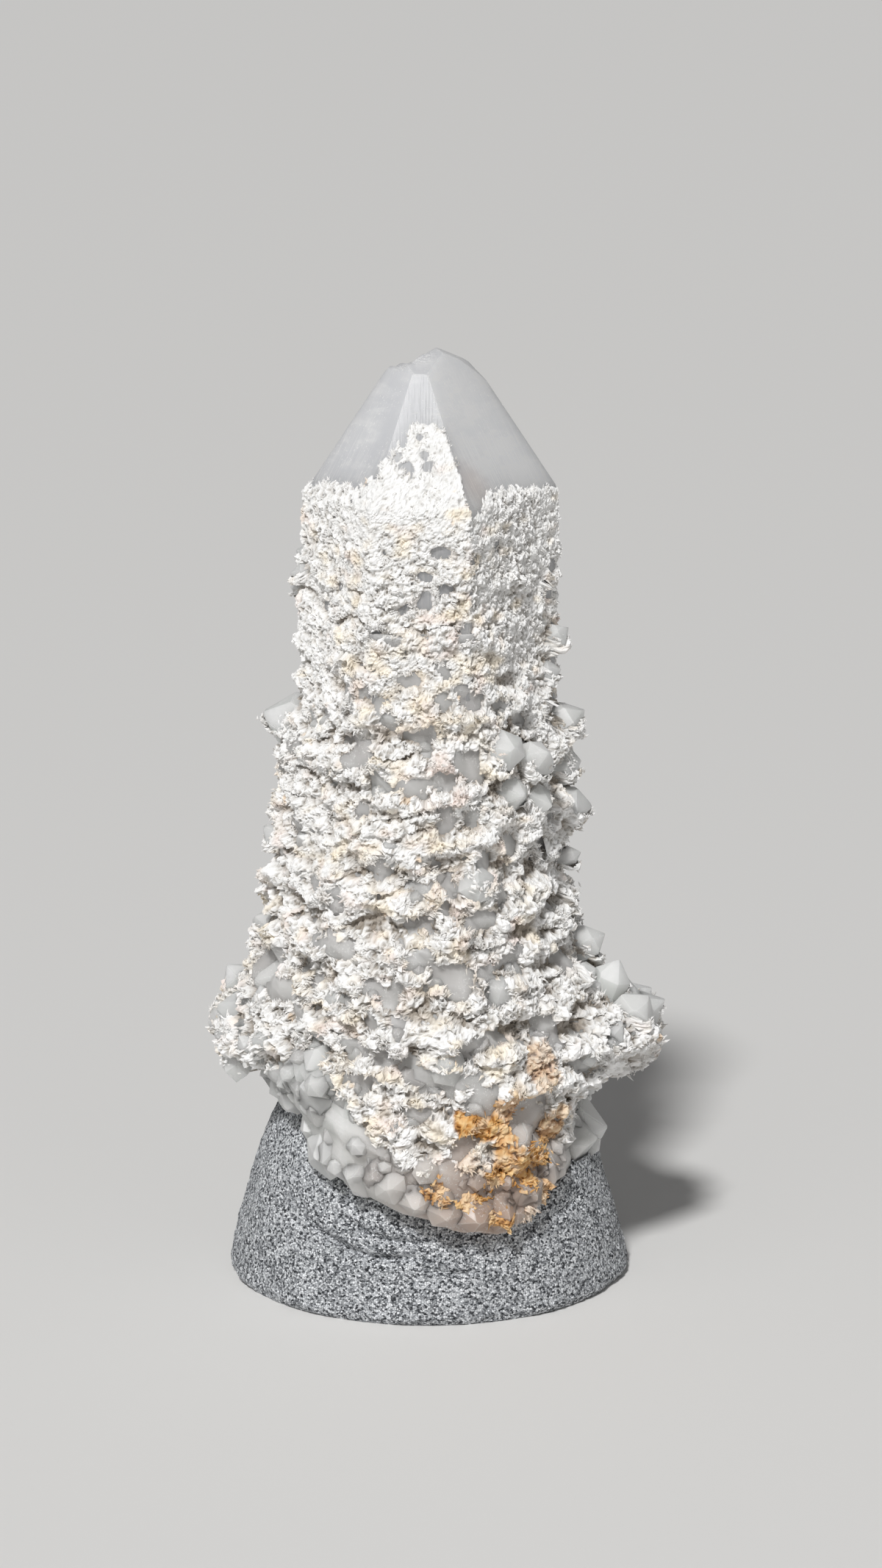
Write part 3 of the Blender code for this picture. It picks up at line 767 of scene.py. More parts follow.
def back_windows():
    rng = random.Random(SEED + 1)
    found = []
    for height in BACK_WINDOW_ROWS:
        azimuth = rng.uniform(*BACK_START)
        while azimuth < BACK_END:
            low = 1 - smooth_step((height - BACK_GROWTH_FOOT) / BACK_GROWTH_OVER)
            width = rng.uniform(*BACK_WIDTHS) + low * rng.uniform(*BACK_WIDER)
            tall = rng.uniform(*BACK_TALLNESSES) + low * rng.uniform(*BACK_TALLER)
            found.append((around(azimuth), height + rng.uniform(*BACK_STRAY), width, tall))
            azimuth += BACK_WINDOW_GAP * rng.uniform(*BACK_GAP_SHARES)
    return found


windows = [*WINDOWS, *back_windows()]
print("windows in all:", len(windows))

# %% Crystals in the windows, in rows and on the rim
DRUSE_FOOT, DRUSE_TOP, WINDOW_CRYSTALS = 26, 122, 0.5
DRUSE_PITCH, DRUSE_SPACING, DRUSE_RADIUS = 5.5, 6.6, 32
RIM_COUNT, SHOULDER_COUNT, RIM_SIZES = 120, 26, (2.6, 7.0)
# Ranges: size in mm, reach beyond the body in mm, lift above the horizontal in degrees. In a window the
# size is what a crystal has beyond the window's own, so that the crust hides its edges.
IN_WINDOWS = {"size": (2.4, 3.4), "reach": (-1.5, -0.8), "lift": (15, 40)}
WINDOW_DROP = 0.3
IN_ROWS = {"size": (5.0, 8.2), "reach": (-0.7, 0.9), "lift": (-12, 14)}
ROW_STRAY, ROW_GAPS = (-1.6, 1.6), (0.75, 1.25)
ON_RIM = {"size": RIM_SIZES, "reach": (-0.4, 1.3), "lift": (-40, 40)}
ON_SHOULDERS = {"size": RIM_SIZES, "reach": (-0.9, 0.3), "lift": (0, 70)}
SHOULDER_RISE, SHOULDER_AROUND, SHOULDER_UP = 4, 0.6, 0.7
# How far above the broken lower edge the rows and the rim's crystals start
ROWS_ABOVE, RIM_ABOVE = 5, 3


def druse():
    """The crystals that the solid doesn't have: in half of the low windows, and in rows on the bare rim."""
    rng = random.Random(SEED + 2)
    found = []
    for azimuth, height, width, tall in windows:
        size = max(width, tall) + rng.uniform(*IN_WINDOWS["size"])
        reach, lift = rng.uniform(*IN_WINDOWS["reach"]), rng.uniform(*IN_WINDOWS["lift"])
        if height < DRUSE_TOP and rng.random() < WINDOW_CRYSTALS:
            found.append((azimuth, height - WINDOW_DROP * tall, size, reach, lift))
    for row in np.arange(DRUSE_FOOT, DRUSE_TOP, DRUSE_PITCH):
        azimuth = rng.uniform(0, 10)
        while azimuth < 360:
            size = rng.uniform(*IN_ROWS["size"])
            height = row + rng.uniform(*ROW_STRAY)
            foot = keyed(LOWER_EDGE, around(azimuth)) + ROWS_ABOVE
            if foot < height < keyed(CRUST_FOOT, around(azimuth)) + 1:
                reach, lift = rng.uniform(*IN_ROWS["reach"]), rng.uniform(*IN_ROWS["lift"])
                found.append((azimuth, height, size, reach, lift))
            azimuth += math.degrees(DRUSE_SPACING / DRUSE_RADIUS) * rng.uniform(*ROW_GAPS)
    return [place_crystal(spec, rng) for spec in found]


def rim_druse():
    """Smaller crystals that crowd between the large ones on the bare rim and on the shoulders."""
    rng = random.Random(SEED + 3)
    found = []
    for _ in range(RIM_COUNT):
        azimuth = rng.uniform(-180, 180)
        low, high = keyed(LOWER_EDGE, azimuth) + RIM_ABOVE, keyed(CRUST_FOOT, azimuth) + 1
        size = rng.uniform(*ON_RIM["size"])
        height = rng.uniform(low, high)
        reach, lift = rng.uniform(*ON_RIM["reach"]), rng.uniform(*ON_RIM["lift"])
        found.append(place_crystal((azimuth, height, size, reach, lift), rng))
    for middle, at, _, wide, tall in SHOULDERS:
        for _ in range(SHOULDER_COUNT):
            azimuth = rng.gauss(middle, wide * SHOULDER_AROUND)
            height = rng.gauss(at + SHOULDER_RISE, tall * SHOULDER_UP)
            size = rng.uniform(*ON_SHOULDERS["size"])
            reach, lift = rng.uniform(*ON_SHOULDERS["reach"]), rng.uniform(*ON_SHOULDERS["lift"])
            found.append(place_crystal((azimuth, height, size, reach, lift), rng))
    return found


def joined(parts):
    """Several pieces' points and faces in one list of points and one of faces."""
    points, faces, start = [], [], 0
    for piece_points, piece_faces, _ in parts:
        points.append(piece_points)
        faces += [[start + corner for corner in face] for face in piece_faces]
        start += len(piece_points)
    return np.concatenate(points), faces


IRON_AZIMUTH, IRON_SPREAD, IRON_HEIGHT, IRON_FADE = -68, 32, 50, 22


def iron_wash(points):
    """How much iron tints the quartz at each point: most at the lower right of the front."""
    off = around(np.degrees(np.arctan2(points[:, 1], points[:, 0])) - IRON_AZIMUTH) / IRON_SPREAD
    return np.exp(-off * off) * smooth_step((IRON_HEIGHT - points[:, 2]) / IRON_FADE)


# Bare crystals differ in tone at random; those set in the windows also get a deeper tone as painted shade
BARE_TONES, WINDOW_SHADE_TONES = (0.0, 0.25), (0.3, 0.8)

deep_crystals = druse()
bare_crystals = [*large_crystals, *rim_druse()]
all_crystals = bare_crystals + deep_crystals
druse_points, druse_faces = joined(all_crystals)
shades = np.random.default_rng(SEED)
crystal_tone_and_shade = np.concatenate([
    shades.uniform(*BARE_TONES, len(bare_crystals)),
    shades.uniform(*WINDOW_SHADE_TONES, len(deep_crystals)),
])
druse_tone_and_shade = np.repeat(crystal_tone_and_shade, [len(points) for points, _, _ in all_crystals])
druse_marks = {
    "tone": druse_tone_and_shade,
    "iron": iron_wash(druse_points),
    # Painted highlight along the edges, weaker on crystals whose tone is deeper
    "frost": np.concatenate([frost for _, _, frost in all_crystals]) * (1 - druse_tone_and_shade),
}
add_piece("small_crystals", druse_points, druse_faces, druse_finish, druse_marks)

# %% [markdown]
# ## The body under the crust
#
# In the gaps between the small crystals one sees the massive quartz that they grew from. It is the solid's
# own lofted body. Under the crust it is drawn in, so that the windows have depth. On the bare rim it is
# hardly drawn in, because there the crystals have grown together, with no dark gaps between them.

# %% The massive body
BODY_COLUMNS, BODY_ROWS = 96, 64
UNDERSIDE_RINGS = 4
BODY_INSET, INSET_FROM, INSET_OVER = 1.1, 150, 40
BODY_TOP_INSET = 0.6
# Over the last twelfth of the body's height the inset fades, and the rim's tuck takes its place
FOOT_PARTS = 12
RIM_TUCK, RIM_TUCK_FROM = 2.4, 0.93
# On the bare rim the quartz fills the gaps between its small crystals, so the body is drawn in less
RIM_FILL, RIM_FILL_START, RIM_FILL_OVER = 0.85, 1, 3
BODY_TOP, BODY_TOP_INSIDE = 138, 130


def massive_body():
    """The lofted body as rings from inside the quartz, down its side and under it, closed by two fans."""
    azimuths = around(np.arange(BODY_COLUMNS) * 360 / BODY_COLUMNS)
    tops = np.full(BODY_COLUMNS, float(BODY_TOP))
    feet = keyed(LOWER_EDGE, azimuths)
    out = facing(azimuths)
    rings = []
    for row in range(BODY_ROWS + 1):
        share = row / BODY_ROWS
        heights = tops + (feet - tops) * share
        tuck = RIM_TUCK * smooth_step((share - RIM_TUCK_FROM) / (1 - RIM_TUCK_FROM)) ** 2
        inset = BODY_INSET * smooth_step((INSET_FROM - heights) / INSET_OVER) + BODY_TOP_INSET
        below_crust = keyed(CRUST_FOOT, azimuths) + RIM_FILL_START - heights
        inset = inset * (1 - RIM_FILL * smooth_step(below_crust / RIM_FILL_OVER))
        drawn_in = tuck + inset * smooth_step((1 - share) * FOOT_PARTS)
        rings.append(body_points(azimuths, heights) - out * drawn_in[:, None])
    rim = rings[-1]
    for step in range(1, UNDERSIDE_RINGS + 1):
        share = 1 - step / (UNDERSIDE_RINGS + 1)
        lowered = UNDERSIDE_DIP + (rim[:, 2] - UNDERSIDE_DIP) * share * share
        rings.append(np.column_stack([rim[:, :2] * share, lowered]))
    points = np.concatenate([*rings, [(0, 0, BODY_TOP_INSIDE), (0, 0, UNDERSIDE_DIP)]])
    inside, under = len(points) - 2, len(points) - 1
    last = (len(rings) - 1) * BODY_COLUMNS
    faces = []
    for k in range(BODY_COLUMNS):
        n = (k + 1) % BODY_COLUMNS
        for row in range(len(rings) - 1):
            upper, lower = row * BODY_COLUMNS, (row + 1) * BODY_COLUMNS
            faces.append((upper + k, lower + k, lower + n, upper + n))
        faces.append((k, n, inside))
        faces.append((last + n, last + k, under))
    return points, faces


# Painted shade: the body is deeper in tone behind the crust, where it shows in the windows, than on the bare
# rim
BODY_BARE_TONE, BODY_SHADE_BEHIND_CRUST, BODY_SHADE_OVER = 0.15, 0.45, 4
TONE_PATCH_SIZE, TONE_PATCH_DEPTH = 7, 0.3


def body_tone_and_shade(points):
    """The body's tone: random patches, and painted shade that makes it deeper behind the crust than on the
    bare rim.
    """
    azimuth = np.degrees(np.arctan2(points[:, 1], points[:, 0]))
    behind = smooth_step((points[:, 2] - keyed(CRUST_FOOT, azimuth)) / BODY_SHADE_OVER)
    return BODY_BARE_TONE + BODY_SHADE_BEHIND_CRUST * behind + swell(points, TONE_PATCH_SIZE) * TONE_PATCH_DEPTH


body_points_mm, body_faces = massive_body()
body_marks = {
    "tone": body_tone_and_shade(body_points_mm),
    "iron": iron_wash(body_points_mm),
    "frost": np.zeros(len(body_points_mm)),
}
add_piece(
    "massive_quartz", body_points_mm, body_faces, druse_finish, body_marks, smooth=True
)

# %% [markdown]
# ## The crust's base
#
# The crust is a coat, mostly half a millimetre to two millimetres thick, in clods that overhang a little,
# with windows between them. It is one sheet on a grid round the body. Wherever the crust ends, at its edges
# and round its windows, the sheet dips under the quartz's surface. To know how deep the quartz lies, a ray
# is sent in through every point of the grid.

# %% A grid round the body, and the quartz under it
CRUST_COLUMNS = 600
CRUST_LOW, CRUST_HIGH, CRUST_STEP = 18, 180, 0.34
RAY_START = 70

azimuths = np.arange(CRUST_COLUMNS) * 360 / CRUST_COLUMNS - 180
heights = np.arange(CRUST_LOW, CRUST_HIGH, CRUST_STEP)
AZ, HI = np.meshgrid(azimuths, heights)
surface = body_points(AZ, HI)
outward = facing(AZ)
body_reach = np.linalg.norm(surface[..., :2], axis=-1)


def quartz_reach():
    """How far the quartz reaches from the axis at every point of the grid, and how much it faces up there."""
    trees = [BVHTree.FromPolygons(druse_points.tolist(), druse_faces),
             BVHTree.FromPolygons(body_points_mm.tolist(), body_faces)]
    reach = np.where(HI > PRISM_FOOT, prism_radius(AZ, HI), 0.0)
    facing_up = np.zeros(AZ.shape)
    for index in np.ndindex(AZ.shape):
        way = Vector(outward[index])
        start = way * RAY_START + Vector((0, 0, HI[index]))
        for tree in trees:
            place, normal, _, _ = tree.ray_cast(start, -way)
            if place and place.xy.length > reach[index]:
                reach[index], facing_up[index] = place.xy.length, normal.z
    return reach, facing_up


quartz, quartz_up = quartz_reach()
depths = (body_reach - quartz)[quartz > 0]
print("mean depth of the quartz under the body's surface:", round(float(depths.mean()), 2))

# %% How far each place is from a window or an edge
WOBBLE = ((3.6, 0.55), (1.7, 0.45), (0.9, 0.3))
WINDOW_EXTRA = ((175, 0.2), (160, 0.5), (140, 0.8), (110, 1.3), (40, 1.6))
TOOTH_SIZE, TOOTH_SHIFT, TOOTH_HEIGHT, TOOTH_LOWERED = (1.5, 1.5, 3.0), (3, 9, 2), 1.8, 0.5
TIP_REACH, TIP_SLOPE, TIP_BARE = 3.6, 4.5, 1.2
BEND_SIZE, BEND_DEPTH, BENT_FROM = 3.2, 2.4, 5
# How ragged the crust's edges are: its own, round the windows, and round the bare tips
EDGE_RAGGED, WINDOW_RAGGED, TIP_RAGGED = 1.6, 1.3, 1.5
# The upper edge is ragged sideways too, in degrees
TOP_BENT, TOP_RAGGED = 1.2, 2.5
STAIN_GROWTH = 0.6

ragged = sum(swell(surface, size) * depth for size, depth in WOBBLE)
bent_across = swell(surface, BEND_SIZE, (6, 6, 1)) * BEND_DEPTH
bent_up = swell(surface, BEND_SIZE, (2, 4, 9)) * BEND_DEPTH
teeth = np.abs(swell(surface, TOOTH_SIZE, TOOTH_SHIFT)) * TOOTH_HEIGHT - TOOTH_LOWERED


def inside_ellipse(azimuth, height, width, tall, wobble):
    """How deep each grid place is in a bent ellipse with a ragged edge, in mm; outside it is negative."""
    bend = min(1, min(width, tall) / BENT_FROM)
    across = np.radians(around(AZ - azimuth)) * body_reach + bent_across * bend
    far = np.hypot(across / (width / 2), (HI - height + bent_up * bend) / (tall / 2))
    return (1 - far) * min(width, tall) / 2 + wobble


def crust_margin():
    """How far inside the crust each grid place is, in mm; windows and bare parts are negative."""
    top = keyed(CRUST_EDGE, AZ + bent_across * TOP_BENT + ragged * TOP_RAGGED) - HI + teeth
    foot = HI - keyed(CRUST_FOOT, AZ)
    margin = np.minimum(top, foot) + ragged * EDGE_RAGGED
    for azimuth, height, width, tall, _ in STAINS:
        patch = inside_ellipse(azimuth, height, width + STAIN_GROWTH, tall + STAIN_GROWTH, ragged)
        margin = np.maximum(margin, patch)
    for azimuth, height, width, tall in windows:
        extra = float(keyed(WINDOW_EXTRA, height))
        low_side = np.clip(0.5 - (HI - height) / tall, 0, 1)
        edge = ragged * WINDOW_RAGGED - teeth * low_side * smooth_step((tall - 1) / 2)
        hole = inside_ellipse(azimuth, height, width + extra, tall + extra, edge)
        margin = np.minimum(margin, -hole)
    tips = (TIP_REACH - TIP_SLOPE * quartz_up - quartz + body_reach) * TIP_BARE + ragged * TIP_RAGGED
    return np.minimum(margin, tips)


margin = crust_margin()
COAT_ENDS = -0.45
covered = (margin[:-1] + margin[1:]) / 2
covered = (covered + np.roll(covered, -1, axis=1)) / 2 > COAT_ENDS
print("share of the grid that the crust covers:", round(float(covered.mean()), 2))

# %% The coat's outer form, before its flakes
CLODS = (((6.0, 6.0, 3.4), 0.95, (3, 1, 4)), ((2.6, 2.6, 1.7), 0.6, (1, 5, 9)))
CREVICE_SIZE, CREVICE_WIDTH, CREVICE_DEPTH = (9.0, 9.0, 4.2), 0.08, 1.7
CLOD_STRENGTH = ((30, 1), (110, 1), (140, 0.65), (165, 0.4))
DROOP = 0.6
EDGE_ROUNDING = 1.2
LEAST_COAT = 0.5
SUNK = 0.3
# Under each window the coat rises in a ledge, and over it lies a hollow: how far, where, and how tall
LEDGE_RISE, LEDGE_BELOW, LEDGE_TALL = 0.95, 1.6, 1.5
HOLLOW_DEPTH, HOLLOW_ABOVE, HOLLOW_TALL = 1.15, 0.4, 1.0
LEDGE_WIDE_SHARE, LEDGE_WIDER = 0.6, 1
LEDGES_FROM, LEDGES_OVER = 150, 30
COAT_LEVEL = 0.4
EDGE_BULGE = 0.7


def coat_reach():
    """The radius of the coat's outer form, from the body's surface, clods, ledges and rounded edges."""
    relief = sum(swell(surface, size, shift) * depth for size, depth, shift in CLODS)
    crevice = np.exp(-((swell(surface, CREVICE_SIZE, (5, 2, 8)) / CREVICE_WIDTH) ** 2))
    relief = (relief - crevice * CREVICE_DEPTH) * keyed(CLOD_STRENGTH, HI)
    for azimuth, height, width, tall in windows:
        across = np.radians(around(AZ - azimuth)) * body_reach / (LEDGE_WIDE_SHARE * width + LEDGE_WIDER)
        ledge = np.exp(-across**2 - ((HI - height + tall / 2 + LEDGE_BELOW) / LEDGE_TALL) ** 2)
        hollow = np.exp(-across**2 - ((HI - height - tall / 2 - HOLLOW_ABOVE) / HOLLOW_TALL) ** 2)
        low = smooth_step((LEDGES_FROM - height) / LEDGES_OVER)
        relief += (ledge * LEDGE_RISE - hollow * HOLLOW_DEPTH) * low
    outer = np.maximum(body_reach - COAT_LEVEL + relief, quartz + LEAST_COAT)
    rounding = smooth_step((margin - COAT_ENDS) / EDGE_ROUNDING) ** EDGE_BULGE
    return quartz - SUNK + (outer - quartz + SUNK) * rounding


outer_reach = coat_reach()
droop = np.clip(outer_reach - body_reach + COAT_LEVEL, 0, 2) * DROOP
coat_form = outward * outer_reach[..., None] + (HI - droop)[..., None] * np.array((0, 0, 1.0))
print("mean thickness of the coat:", round(float((outer_reach - quartz)[margin > 0].mean()), 2))

# %% [markdown]
# ## Flakes
#
# Seen close, the coat is a froth of little flakes, each a millimetre or two wide and tilted its own way,
# with a crease between it and the next. Voronoi cells give just that: every cell takes a height and a
# tilt by chance, and its rim is lowered. The front's layers are broad and level, the upper left is
# streaked, and the upper right is as fine as coarse sand, so four kinds of cells are blended, and a fifth,
# finer one roughens them all.


# %% Heights of tilted flakes
# Uneven numbers that scramble a point into one number: any will do, as long as they share no rhythm
SCRAMBLE_TURNS, SCRAMBLE_STRETCH = np.array((12.9898, 78.233, 37.719)), 43758.5453


def chance(points, row):
    """A number from 0 to 1 for each point, the same for equal points."""
    return np.modf(np.abs(np.sin(points @ SCRAMBLE_TURNS + row) * SCRAMBLE_STRETCH))[0]


def warped(points, size, depth):
    """Points moved about by smooth noise, so that cells made from them lose their regular look."""
    moved = [noise.noise_vector(place) for place in (points / size).reshape(-1, 3).tolist()]
    return points + np.array(moved).reshape(points.shape) * depth


CREASE_WIDTH, CREASE_DEPTH, CREASE_MIDDLE = 0.3, 0.7, 0.6
FLAKE_TILT, FLAKE_LIFT = 1.7, 0.8


def flakes(points, size, shift):
    """Heights from about -1 to 1 of little tilted flakes of that size."""
    places = (points / np.array(size) + np.array(shift, float)).reshape(-1, 3)
    found = [noise.voronoi(place) for place in places.tolist()]
    gaps = np.array([distances[1] - distances[0] for distances, _ in found])
    middles = np.array([tuple(centres[0]) for _, centres in found])
    tilts = np.stack([chance(middles, row) for row in (1, 2, 3)], -1) - 0.5
    height = (chance(middles, 4) - 0.5) * FLAKE_LIFT + np.sum((places - middles) * tilts, -1) * FLAKE_TILT
    height += (smooth_step(gaps / CREASE_WIDTH) - CREASE_MIDDLE) * CREASE_DEPTH
    return height.reshape(points.shape[:-1])


# %% Where each kind of flake lies
# size in mm across, through and up, and how far its flakes stand out
BROAD = ((2.4, 2.4, 1.5), 0.75)
LAYERED = ((1.8, 1.8, 1.0), 0.6)
STREAKED = ((1.2, 1.2, 2.6), 0.7)
SANDY = ((1.15, 1.15, 1.15), 0.65)
FINE_FLAKES, FINE_DEPTH = (0.9, 0.9, 0.75), ((140, 0.22), (160, 0.15), (172, 0.1))
LEFT_FACE, RIGHT_FACE, FACE_SPREAD = -150, -30, 30
# The streaked and the sandy kind begin at a height upwards, the broad kind downwards: height, and over
# how many mm it takes over
STREAKED_FROM, SANDY_FROM, BROAD_FROM = (136, 16), (118, 14), (104, 26)
# The flakes' outlines are bent twice: how far apart the bends are, and how deep
BENDS = ((2.6, 1.3), (0.9, 0.5))
LEAST_SHARE = 0.01
TONGUE_RELIEF = ((148, 1.0), (166, 0.45))


def flake_relief():
    """The flakes' relief over the whole grid, in mm."""
    places = coat_form
    for size, depth in BENDS:
        places = warped(places, size, depth)
    streaked, sandy = (smooth_step((HI - start) / over) for start, over in (STREAKED_FROM, SANDY_FROM))
    left = np.exp(-((around(AZ - LEFT_FACE) / FACE_SPREAD) ** 4)) * streaked
    right = np.exp(-((around(AZ - RIGHT_FACE) / FACE_SPREAD) ** 4)) * sandy
    low = smooth_step((BROAD_FROM[0] - HI) / BROAD_FROM[1])
    front = (1 - low) * (1 - left) * (1 - right) * keyed(TONGUE_RELIEF, HI)
    shares = (low, front, left * (1 - right), right)
    relief = np.zeros(AZ.shape)
    for (size, depth), share in zip((BROAD, LAYERED, STREAKED, SANDY), shares):
        needed = share > LEAST_SHARE
        relief[needed] += flakes(places[needed], size, (0, 0, 0)) * depth * share[needed]
    return relief + flakes(coat_form, FINE_FLAKES, (4, 4, 4)) * keyed(FINE_DEPTH, HI)


def grid_normals(sheet):
    along = np.roll(sheet, -1, axis=1) - np.roll(sheet, 1, axis=1)
    normals = np.cross(along, np.gradient(sheet, axis=0))
    return normals / np.maximum(np.linalg.norm(normals, axis=-1, keepdims=True), 1e-9)


FLAKE_FADE = 1.1
relief = flake_relief()
lift = relief * smooth_step((margin - COAT_ENDS) / FLAKE_FADE)
outer_sheet = coat_form + grid_normals(coat_form) * lift[..., None]
most, least = float(lift.max()), float(lift.min())
print("flakes stand out and lie back by up to", round(most, 2), round(least, 2), "mm")


# %% Blurring a grid that closes on itself
def blurred(grid, times):
    for _ in range(times):
        ends = np.concatenate([grid[:1], grid, grid[-1:]])
        grid = (ends[:-2] + 2 * grid + ends[2:]) / 4
        grid = (np.roll(grid, 1, axis=1) + 2 * grid + np.roll(grid, -1, axis=1)) / 4
    return grid


# How much a place lies in a hollow of the crust, or in a crease between flakes, where shade gathers
HOLLOW_BLUR, HOLLOW_START, HOLLOW_OVER = 62, 0.1, 1.5
CREASE_START, CREASE_OVER = -0.06, 0.5
hollow_mark = smooth_step((blurred(outer_reach, HOLLOW_BLUR) - outer_reach + HOLLOW_START) / HOLLOW_OVER)
crease_mark = smooth_step((CREASE_START - relief) / CREASE_OVER)
print("share of the grid in hollows:", round(float(hollow_mark.mean()), 2))


# %% How strong the stain is at each place, and how warm the white
STAIN_REACH, STAIN_START, STAIN_OVER = 3.4, 0.3, 0.9
STAIN_WOBBLE, STAIN_WOBBLE_DEPTH = 2.0, 0.7


def stain_strength():
    strength = np.zeros(AZ.shape)
    wobble = swell(surface, STAIN_WOBBLE) * STAIN_WOBBLE_DEPTH
    for azimuth, height, width, tall, strong in STAINS:
        depth = inside_ellipse(azimuth, height, width + STAIN_REACH, tall + STAIN_REACH, wobble)
        strength = np.maximum(strength, strong * smooth_step((depth + STAIN_START) / STAIN_OVER))
    return strength


stain_mark = stain_strength()

# The crust is creamier on the front's middle, and cooler on its flanks: azimuth, then how much warmer
WARM_SIDES = (
    (-180, 0.0), (-150, -0.2), (-118, 0.05), (-85, 0.2), (-60, 0.0), (-35, -0.4), (0, -0.1), (180, 0.0),
)
WARM_HEIGHTS = ((20, 0.15), (100, 0.15), (140, 0.15), (158, 0.0), (166, -0.5), (175, -0.7))
# Patches of warmer white: size, how strong, and where the noise starts
WARM_PATCHES = (((13, 13, 8), 0.5, (2, 7, 1)), ((4, 4, 2.6), 1.1, (8, 2, 8)))
warm_noise = sum(swell(surface, size, shift) * depth for size, depth, shift in WARM_PATCHES)
warm_mark = smooth_step(warm_noise + keyed(WARM_SIDES, AZ) + keyed(WARM_HEIGHTS, HI))

# %% [markdown]
# ## The white finish
#
# The crust is matt and white, with cream and faint pink patches, and painted shade darkens its hollows.
# Numbers kept at the mesh's points say how deep in a hollow or a crease a place is, how warm its white, how
# strong the stain, and a tone that differs from flake to flake, which on the coat is painted shade and light.

# %% The finish of the crust
WHITE_DIM, WHITE_BRIGHT = rgb(232, 232, 230), rgb(254, 253, 252)
CREAM, PINK_CREAM, ORANGE_SPECKS = rgb(248, 238, 220), rgb(244, 231, 224), rgb(238, 196, 140)
HOLLOW_PAINTED_SHADE, PALE_RUST = rgb(158, 149, 138), rgb(236, 216, 188)
# The iron's ramp, from its darkest rust to its palest ochre
RUST_RAMP = ((0.2, rgb(122, 78, 34)[:3]), (0.4, rgb(203, 150, 86)[:3]), (0.66, rgb(234, 198, 144)[:3]))


def finish_crust():
    finish, place, shader = new_finish("white_crust", {"IOR": 1.5, "Specular IOR Level": 0.3})
    tone, hollow = place.attribute("tone"), place.attribute("hollow")
    warm, stain = place.attribute("warm"), place.attribute("stain")
    # Painted shade and light: on the coat the tone follows the flakes' relief, so raised flakes are whiter
    # and low ones dimmer; on the blades it differs at random
    white = place.mix(tone, WHITE_DIM, WHITE_BRIGHT)
    pinkish = place.noise(place, 8, 2).between(0.42, 0.66)
    cream = place.mix(pinkish, CREAM, PINK_CREAM)
    color = place.mix(warm, white, cream)
    orange = place.noise(place.vector("ADD", place, (0.7, 0.2, 0.4)), 6, 2).between(0.7, 0.78) * 0.5
    color = place.mix(orange, color, ORANGE_SPECKS)
    # Painted shade in the hollows and the creases
    color = place.mix(hollow, color, HOLLOW_PAINTED_SHADE)
    # The rust is painted darker in the hollows too, as shade
    rust = place.noise(place, 2.2, 3) * 0.6 + tone * 0.4 - hollow * 0.25
    iron = place.node("ShaderNodeValToRGB", {"stops": RUST_RAMP}, {0: rust})
    pale = place.noise(place, 3.4, 2).between(0.5, 0.64) * 0.55
    iron = place.mix(pale, iron, PALE_RUST)
    color = place.mix(stain, color, iron)
    froth = place.noise(place, 0.7, 4, 0.65)
    bump_inputs = {"Strength": 0.7, "Distance": 0.3 * MM, "Height": froth}
    bump = place.node("ShaderNodeBump", None, bump_inputs)
    place.join(shader.inputs, "Base Color", color)
    place.join(shader.inputs, "Roughness", 0.82 + tone * 0.12)
    place.join(shader.inputs, "Normal", bump)
    return finish


white_finish = finish_crust()

# %% The coat as meshes
# The crust is kept in three bands, so that no piece grows too heavy: name, from and to which height
BANDS = (("lower", 0, 78), ("middle", 78, 122), ("upper", 122, 200))
HOLLOW_SHADE, CREASE_SHADE = 1.0, 0.7

coat_marks = {
    # The coat's tone is painted shade and light from the flakes' relief
    "tone": np.clip(0.5 + relief, 0, 1),
    "hollow": np.clip(hollow_mark * HOLLOW_SHADE + crease_mark * CREASE_SHADE, 0, 1),
    "warm": warm_mark,
    "stain": stain_mark,
}


def coat_quads(low, high):
    """The corners of every covered cell of the grid between two heights."""
    index = np.arange(AZ.size).reshape(AZ.shape)
    corners = (index[:-1], np.roll(index, -1, axis=1)[:-1], np.roll(index, -1, axis=1)[1:], index[1:])
    wanted = covered & (HI[:-1] >= low) & (HI[:-1] < high)
    return np.stack(corners, -1)[wanted]


for band, low, high in BANDS:
    used, faces = np.unique(coat_quads(low, high), return_inverse=True)
    marks = {mark: values.ravel()[used] for mark, values in coat_marks.items()}
    coat_points = outer_sheet.reshape(-1, 3)[used]
    coat_faces = faces.reshape(-1, 4).tolist()
    add_piece(f"crust_coat_{band}", coat_points, coat_faces, white_finish, marks)

# %% [markdown]
# ## The blades
#
# On the froth stand thousands of thin blades, in rosettes, and most of them at the crust's edges. A blade
# is a flat, closed, eight-sided leaf. They are drawn as one array: a place, a direction and a flat side
# for each, and all meshes at once. Near a window they lean over its edge, at the top edge they stand up
# like grass, and lower down they are larger.

# %% Blade sizes by height
# height, then length, width, share of a rosette that leans up, blades for each square millimetre
BLADES = (
    (178, 1.1, 0.55, 1.0, 1.8), (160, 1.1, 0.6, 0.8, 1.7), (140, 1.1, 0.6, 0.3, 1.4),
    (115, 1.15, 0.62, 0.15, 1.3), (90, 1.3, 0.64, 0.15, 1.2), (60, 1.55, 0.66, 0.25, 1.0),
    (30, 1.8, 0.68, 0.3, 0.95),
)
BLADE_THICKNESS = 0.42
BLADES_IN_ROSETTE = 6
ROSETTE_SPREAD = 0.6
EDGE_NEAR, EDGE_FADE, EDGE_SHARE, INNER_SHARE = 1.6, 1.2, 1.6, 0.25
EDGE_LEAN = 0.9
LEVEL_SHARE = ((165, 0.0), (145, 0.5), (120, 0.6), (85, 0.5), (60, 0.25), (30, 0.1))
BACK_SHARE, FRONT_FROM, FRONT_OVER = 0.72, 0.35, 0.7
EDGE_BLUR = 6


